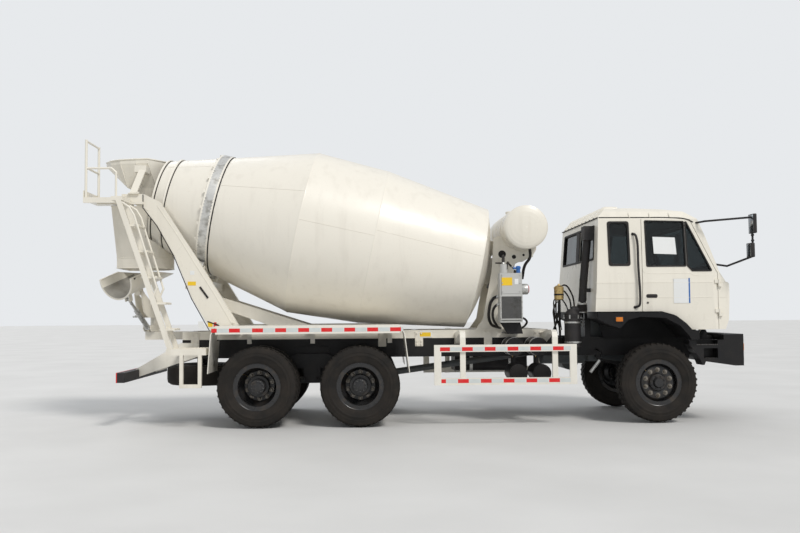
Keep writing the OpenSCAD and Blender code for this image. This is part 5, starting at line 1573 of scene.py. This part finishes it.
@dataclass
class Underframe(Assembly):
    """Plates, bolts, brake chambers and lamps along the frame, and treads of the cab steps."""

    rail_y: float = 430
    cross_x: Sequence[float] = (700, -1480, -2700, -3600, -4500, -5400, -6190)
    plate_x: Sequence[float] = (-1440, -2120, -3060, -3560, -6080)

    def joints(self) -> None:
        """Plates between the rail and the subframe, and rows of bolt heads."""
        plates, heads, rails = [], [], []
        for side in (1, -1):
            out = outward(side)
            span = y_span(side, self.rail_y - 2, self.rail_y + 9)
            for x in self.plate_x:
                plates.append(slab((x - 55, x + 55), span, (990, 1190), 3, 1))
                heads += [facing(at(x + dx, side * (self.rail_y + 9), z), out)
                          for dx in (-30, 30) for z in (1015, 1060, 1165)]
            for x in self.cross_x:
                rails += [facing(at(x + dx, side * self.rail_y, z), out)
                          for dx in (-18, 18) for z in (925, 975)]
        self.keep(joined(*plates, copied(hex_bolt(19, 12), heads)), "frame_plates", Palette.cream)
        self.keep(copied(hex_bolt(19, 12), rails), "frame_bolts", Palette.black)
        label = slab((-3064, -2884), (-441, -430), (1108, 1190), 1, 1)
        self.keep(label, "frame_label", Palette.white)
        label = slab((-3050, -2900), (-442, -440), (1120, 1178), 0.4, 1)
        self.keep(label, "frame_label_field", Palette.yellow)
        self.keep(bar(path((-805, -760, 641), (-680, -760, 798)), 22), "stay", Palette.zinc)
        bracket = bar(path((-686, -760, 790), (-640, -700, 900), (-640, -432, 930)), 12)
        self.keep(bracket, "stay_bracket", Palette.black)

    def brakes(self) -> None:
        """Brake chambers ahead of the rear axles, with their rods."""
        profile = [(2, -70), (60, -66), (70, -58), (70, -6), (78, -4), (78, 6), (70, 8), (66, 70),
                   (52, 80), (2, 82)]
        parts = []
        for x in (MIDDLE_AXLE_X, REAR_AXLE_X):
            for side in (1, -1):
                parts.append(turned(profile, at(x + 250, side * 340, 600), Vector((1, 0, 0.12)), 32))
                parts.append(pipe(path((x + 190, side * 340, 592), (x + 60, side * 340, 570)), 12))
        self.keep(joined(*parts), "brake_chambers", Palette.black)

    def treads(self) -> None:
        """Raised bars on the cab steps."""
        parts = []
        for side in (1, -1):
            y = y_span(side, 996, 1148)
            parts.append(teeth((484, 756), y, 1002, (11, 6), (20, 7, 6)))
            parts.append(teeth((580, 756), y, 830, (7, 6), (20, 7, 6)))
            tooth = slab((486, 498), y_span(side, 1147, 1154), (1000, 1014), 1, 1)
            parts.append(copied(tooth, [Matrix.Translation((0.0235 * i, 0, 0)) for i in range(12)]))
        self.keep(joined(*parts), "step_treads", Palette.nut)

    def front(self) -> None:
        """Headlamps' bezels, the turn lamps beside them and the bumper's bolts."""
        bezels, lenses, turns = [], [], []
        for side in (1, -1):
            for y in (705, 855):
                centre = at(1178, side * y, 970)
                for group, profile in (
                        (bezels, [(48, 0), (64, 0), (62, 14), (52, 16), (48, 10)]),
                        (lenses, [(1, 0), (49, 0), (49, 8), (34, 14), (14, 17), (1, 17)])):
                    group.append(turned(profile, centre, AHEAD, 40))
            corner = [(1169, side * 990), (1143, side * 1050), (1125, side * 1050), (1151, side * 990)]
            turns.append(plate(corner, Plane.TOP, (925, 1015), 3, 2))
        self.keep(joined(*bezels), "headlamp_bezels", Palette.chrome)
        self.keep(joined(*lenses), "headlamp_lenses", Palette.lens)
        self.keep(joined(*turns), "turn_lamps", Palette.amber)
        spots = [at(1190, side * y, z) for side in (1, -1) for y in (180, 480) for z in (840, 1050)]
        self.keep(bolts(spots, AHEAD, 22), "bumper_bolts", Palette.black)

    def rear_lamps(self) -> None:
        """Coloured fields on the rear lamps."""
        for name, y, finish in (("stop", (645, 758), Palette.ruby), ("turn", (764, 876), Palette.amber),
                                ("reverse", (882, 995), Palette.lens)):
            fields = [slab((-6957, -6948), y_span(side, *y), (606, 694), 4, 2) for side in (1, -1)]
            self.keep(joined(*fields), f"rear_lamp_{name}", finish)
        sleeve = slab((-6924.5, -6819.5), (-1152, 1152), (587.5, 712.5), 2, 1)
        self.keep(sleeve, "bar_sleeve", Palette.plastic)
        edges = [slab((-6927, -6914), (-1153, 1153), (709, 715), 1, 1)]
        edges += [slab((-6927, -6914), y_span(side, 1147, 1155), (586, 715), 1, 1) for side in (1, -1)]
        self.keep(joined(*edges), "bar_edges", Palette.red)

    def build(self) -> None:
        """Dresses the frame."""
        self.joints()
        self.brakes()
        self.treads()
        self.front()
        self.rear_lamps()


@dataclass
class RearWorks(Assembly):
    """Treads, rims, bolts and blank labels of the ladder, platform, hopper, funnel and pedestal."""

    top: Flat = (-6901, 2901)
    foot: Flat = (-6242, 1010)

    def walks(self) -> None:
        """Raised bars on the ladder's treads, the platform and the lower step."""
        parts = []
        (top_x, top_z), (foot_x, foot_z) = self.top, self.foot
        for i in range(5):
            z = top_z - 319 - i * (top_z - foot_z) / 5.7
            x = top_x + (foot_x - top_x) * (top_z - z) / (top_z - foot_z)
            parts.append(teeth((x - 54, x + 138), (-1180, -868), z + 10, (6, 10), (20, 6, 5)))
        self.keep(joined(*parts), "ladder_treads", Palette.cream)
        parts = [teeth((-7412, -7000), (-900, -360), 2960, (12, 16), (26, 7, 4)),
                 teeth((-6278, -5792), (-1234, -808), 1010, (13, 11), (26, 7, 4))]
        self.keep(joined(*parts), "walkway_bars", Palette.cream)

    def rims(self) -> None:
        """Rolled edges and stiffeners of the hopper and the funnel."""
        half = [(-7395, 70), (-7290, 230), (-7131, 330), (-6900, 390), (-6738, 410), (-6560, 150)]
        lip = half + [(x, -y) for x, y in reversed(half)]
        parts = [bar([at(x, y, 3567) for x, y in lip], 11, closed=True)]
        for side in (1, -1):
            parts.append(bar(path((-6900, side * 559, 2900), (-7179, side * 559, 2900)), 9))
            for x, y, low in ((-7131, 330, -7048), (-6900, 390, -6850), (-6738, 410, -6652)):
                parts.append(bar(path((x, side * y, 3510), (low, side * 260, 3197)), 7))
        parts.append(bar(path((-7179, -559, 2900), (-7179, 559, 2900)), 9))
        bend = [math.radians(90 - i * 15) for i in range(13)]
        collar = [(-7164, -329), (-7164, 329),
                  *((-6800 + 329 * math.cos(a), 329 * math.sin(a)) for a in bend)]
        parts += [bar([at(x, y, z) for x, y in collar], 8, closed=True) for z in (2083, 2224)]
        self.keep(joined(*parts), "rolled_edges", Palette.cream)

    def fastenings(self) -> None:
        """Bolts of the hopper, the platform and the pedestal, the pedestal's small plates, and painted shadow
        lines on the pedestal.
        """
        heads = []
        for side in (1, -1):
            heads += [facing(at(-6774, side * y, 3050), UP) for y in (742, 775)]
            heads += [facing(at(x, side * 741, z), outward(side))
                      for x in (-6970, -6900) for z in (2930, 3005)]
            heads += [facing(at(x, side * 753, z), outward(side))
                      for x, z in ((-5760, 1240), (-5640, 1240), (-5520, 1240), (-5720, 1330), (-5520, 1330))]
        self.keep(copied(hex_bolt(22, 13), heads), "rear_bolts", Palette.cream)
        for name, x, z, finish in (("a", (-6117, -6010), (1824, 1876), Palette.yellow),
                                   ("b", (-6086, -6030), (1966, 2018), Palette.white),
                                   ("c", (-5978, -5907), (1262, 1352), Palette.white),
                                   ("d", (-5850, -5790), (1280, 1338), Palette.yellow),
                                   ("e", (-5775, -5716), (1280, 1338), Palette.red)):
            self.keep(slab(x, (-754.5, -752), z, 0.6, 1), f"pedestal_label_{name}", finish)
        lever = pipe([at(x, -1000, z) for x, z in (
            (-5810, 1352), (-5739, 1325), (-5663, 1293), (-5650, 1262))], 9)
        # Painted shadow: this dark bar along the rear pedestal's edge stands for the shade in the gap between
        # its plates. The lever beside it is a real part.
        edge = bar([at(x, -756, z) for x, z in (
            (-6709, 3030), (-6707, 2850), (-6526, 2616), (-6302, 2217), (-6067, 1653), (-5830, 1230))], 6)
        self.keep(joined(lever, edge), "pedestal_lever_and_edge_shade", Palette.hose)
        # Painted shade: a dark bar stands for the shaded inside of a slot in the rear pedestal.
        self.keep(bar(path((-5956, -754, 1804), (-5851, -754, 1658)), 13), "pedestal_slot_shade", Palette.seal)
        welds = [bar([at(x, side * 752, z) for x, z in run], 5) for side in (1, -1) for run in (
            ((-6520, 2880), (-6250, 2480), (-5990, 2060), (-5760, 1700), (-5540, 1320)),
            ((-6880, 2960), (-6640, 2820)))]
        self.keep(joined(*welds), "pedestal_welds", Palette.cream)

    def build(self) -> None:
        """Dresses the truck's rear."""
        self.walks()
        self.rims()
        self.fastenings()


@dataclass
class ChuteTrim(Assembly):
    """Worn lining, rolled rims and bolts of the chute."""

    body: Body = Body.CHUTE
    pivot: Point = (-6720, 0, 1911)
    turn: float = 22
    slope: float = 18
    length: float = 1180
    radius: float = 235
    back: float = -345
    depth: float = 270
    cut: float = 2028

    def local(self, x: float, y: float, z: float) -> Vector:
        """Place of a point of the chute's own frame."""
        return self.frame() @ Vector((x / 1000, y / 1000, z / 1000))

    def frame(self) -> Matrix:
        """The chute's own frame, x running down its floor."""
        return (Matrix.Translation(at(*self.pivot)) @ Matrix.Rotation(math.radians(-90 - self.turn), 4, "Z")
                @ Matrix.Rotation(math.radians(self.slope), 4, "Y"))

    def start(self, z: float) -> float:
        """Where the trough's edge at a height comes out below its level cut."""
        angle = math.radians(self.slope)
        return max((self.pivot[2] - self.cut + z * math.cos(angle)) / math.sin(angle), self.back)

    def build(self) -> None:
        """Dresses the chute."""
        end = self.back + self.length
        inner = self.radius - 6
        arc = [math.radians(200 + i * 140 / 18) for i in range(19)]
        first = self.start(self.radius * 0.75)
        skin, core = ([(r * math.cos(a), self.radius + r * math.sin(a)) for a in run]
                      for r, run in ((inner, arc), (inner - 2.5, arc[::-1])))
        lining = plate(skin + core, Plane.FRONT, (first - FRONT_AXLE_X, end - 2 - FRONT_AXLE_X), 0)
        lining.data.transform(self.frame())
        self.keep(smooth(lining, 40), "chute_lining", Palette.worn)
        high = self.start(self.depth) + 6
        rims = [bar([self.local(x, side * 232, self.depth - 4) for x in (high, end - 8)], 10)
                for side in (1, -1)]
        self.keep(joined(*rims), "chute_rims", Palette.cream)
        spots = [self.local(x, side * (self.radius + 0.5), 250)
                 for side in (1, -1) for x in (high + 60, end - 90)]
        side_way = self.frame().to_3x3() @ LEFTWARD
        heads = [facing(spot, side_way if i < 2 else -side_way) for i, spot in enumerate(spots)]
        self.keep(copied(hex_bolt(18, 11), heads), "chute_bolts", Palette.nut)


@dataclass
class Studio:
    """Floor, light and camera."""

    eye: Point = (-0.5561, -12.4118, 1.4362)
    yaw: float = 1.746
    pitch: float = 3.054
    roll: float = -0.4294
    lens: float = 39.62
    sky: Colour = (0.93, 0.96, 1.0)
    sky_strength: float = 0.62
    background: Colour = (0.80, 0.82, 0.84)

    def floor(self) -> None:
        """Lays a wide pale floor with a slightly raised grain."""
        bpy.ops.object.select_all(action="DESELECT")
        bpy.ops.mesh.primitive_grid_add(x_subdivisions=24, y_subdivisions=24, size=240, location=(0, 0, 0))
        ground = bpy.context.object
        ground.name = "studio_floor"
        graph = Graph("f_floor")
        tone = graph.mix(graph.span(graph.noise(0.6, 5), 0.3, 0.7), (0.60, 0.595, 0.58), (0.66, 0.655, 0.64))
        graph.shade(Base_Color=tone, Roughness=0.7, Normal=graph.bump(graph.noise(60, 3), 0.0005, 0.3))
        ground.data.materials.append(graph.material)

    def world(self) -> None:
        """Lights the scene evenly, with a plain pale background."""
        world = bpy.data.worlds.new("studio")
        bpy.context.scene.world = world
        world.use_nodes = True
        tree = world.node_tree
        tree.nodes.clear()
        rays = tree.nodes.new("ShaderNodeLightPath")
        seen = tree.nodes.new("ShaderNodeMath")
        seen.operation = "MAXIMUM"
        tree.links.new(rays.outputs["Is Camera Ray"], seen.inputs[0])
        tree.links.new(rays.outputs["Is Transmission Ray"], seen.inputs[1])
        light = tree.nodes.new("ShaderNodeBackground")
        light.inputs[0].default_value = (*self.sky, 1)
        light.inputs[1].default_value = self.sky_strength
        plain = tree.nodes.new("ShaderNodeBackground")
        plain.inputs[0].default_value = (*self.background, 1)
        mix = tree.nodes.new("ShaderNodeMixShader")
        tree.links.new(seen.outputs[0], mix.inputs[0])
        tree.links.new(light.outputs[0], mix.inputs[1])
        tree.links.new(plain.outputs[0], mix.inputs[2])
        tree.links.new(mix.outputs[0], tree.nodes.new("ShaderNodeOutputWorld").inputs[0])

    def lamps(self) -> None:
        """Hangs a broad key light over the camera's right and a weak fill on the far side."""
        for name, strength, spread, way, colour in (
                ("key", 1.9, 14, (-0.42, 0.60, -0.75), (1.0, 0.975, 0.94)),
                ("fill", 0.5, 40, (0.5, -0.7, -0.6), (0.95, 0.97, 1.0))):
            data = bpy.data.lights.new(name, "SUN")
            data.energy = strength
            data.angle = math.radians(spread)
            data.color = colour
            lamp = bpy.data.objects.new(name, data)
            lamp.rotation_euler = Vector(way).to_track_quat("-Z", "Y").to_euler()
            bpy.context.scene.collection.objects.link(lamp)

    def camera(self) -> None:
        """Sets the camera where the photograph was taken from."""
        data = bpy.data.cameras.new("view")
        data.lens = self.lens
        data.sensor_width = 36
        data.sensor_fit = "HORIZONTAL"
        data.clip_end = 500
        view = bpy.data.objects.new("view", data)
        yaw, pitch = math.radians(self.yaw), math.radians(self.pitch)
        ahead = Vector((math.sin(yaw) * math.cos(pitch), math.cos(yaw) * math.cos(pitch), math.sin(pitch)))
        right = Vector((math.cos(yaw), -math.sin(yaw), 0))
        up = right.cross(ahead)
        frame = Matrix((right, up, -ahead)).transposed().to_4x4()
        roll = Matrix.Rotation(math.radians(self.roll), 4, "Z")
        view.matrix_world = Matrix.Translation(self.eye) @ frame @ roll
        bpy.context.scene.collection.objects.link(view)
        bpy.context.scene.camera = view

    def build(self) -> None:
        """Sets up the studio."""
        bpy.context.scene.view_settings.view_transform = "Standard"
        self.world()
        self.lamps()
        self.camera()
        self.floor()


# Nodes of the model by finish. The rims and tyres are named by their first letters.
FINISHED: dict[Finish, str] = {
    Palette.black: "chassis_frame front_axle rear_axles leaf_springs bumper air_tanks fuel_tank knuckle_left "
                   "knuckle_right",
    Palette.cream: "subframe front_pedestal water_tank rear_pedestal hopper discharge_funnel platform ladder "
                   "cab_shell door_left door_right chute_swivel chute",
    Palette.guard: "rear_fenders side_guards underrun_bar",
    Palette.window: "cab_glass door_glass_left door_glass_right",
    Palette.plastic: "air_cleaner mirrors snorkel",
    Palette.track: "roller_left roller_right",
    Palette.engine: "powertrain", Palette.lens: "lamps", Palette.dark: "drum_gearbox",
    Palette.grey: "oil_cooler", Palette.tyre: "spare_wheel", Palette.seat: "cab_interior",
    Palette.arch: "cab_arches", Palette.drum: "drum", Palette.zinc: "chute_jack"}


def dress_nodes(nodes: dict[str, bpy.types.Object]) -> None:
    """Gives every node of the model its finish.

    Args:
        nodes: The model's nodes by name.
    """
    finishes = {name: finish for finish, names in FINISHED.items() for name in names.split()}
    for name, node in nodes.items():
        finish = finishes.get(name, Palette.rim if name.startswith("rim") else Palette.tyre)
        for slot in node.material_slots:
            slot.material = finish.material()
        if not node.material_slots:
            node.data.materials.append(finish.material())
        log.info("%s is finished as %s", name, finish.name)


def main() -> None:
    """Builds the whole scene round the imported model."""
    logging.basicConfig(level=logging.INFO, format="%(name)s: %(message)s")
    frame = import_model()
    Studio().build()
    dress_nodes(frame["nodes"])
    for assembly in (Wheels(), Drum(), Tapes(), CabSkin(), CabRoom(), Machinery(), Underframe(),
                     RearWorks(), ChuteTrim()):
        assembly.build()


if __name__ == "__main__":
    main()
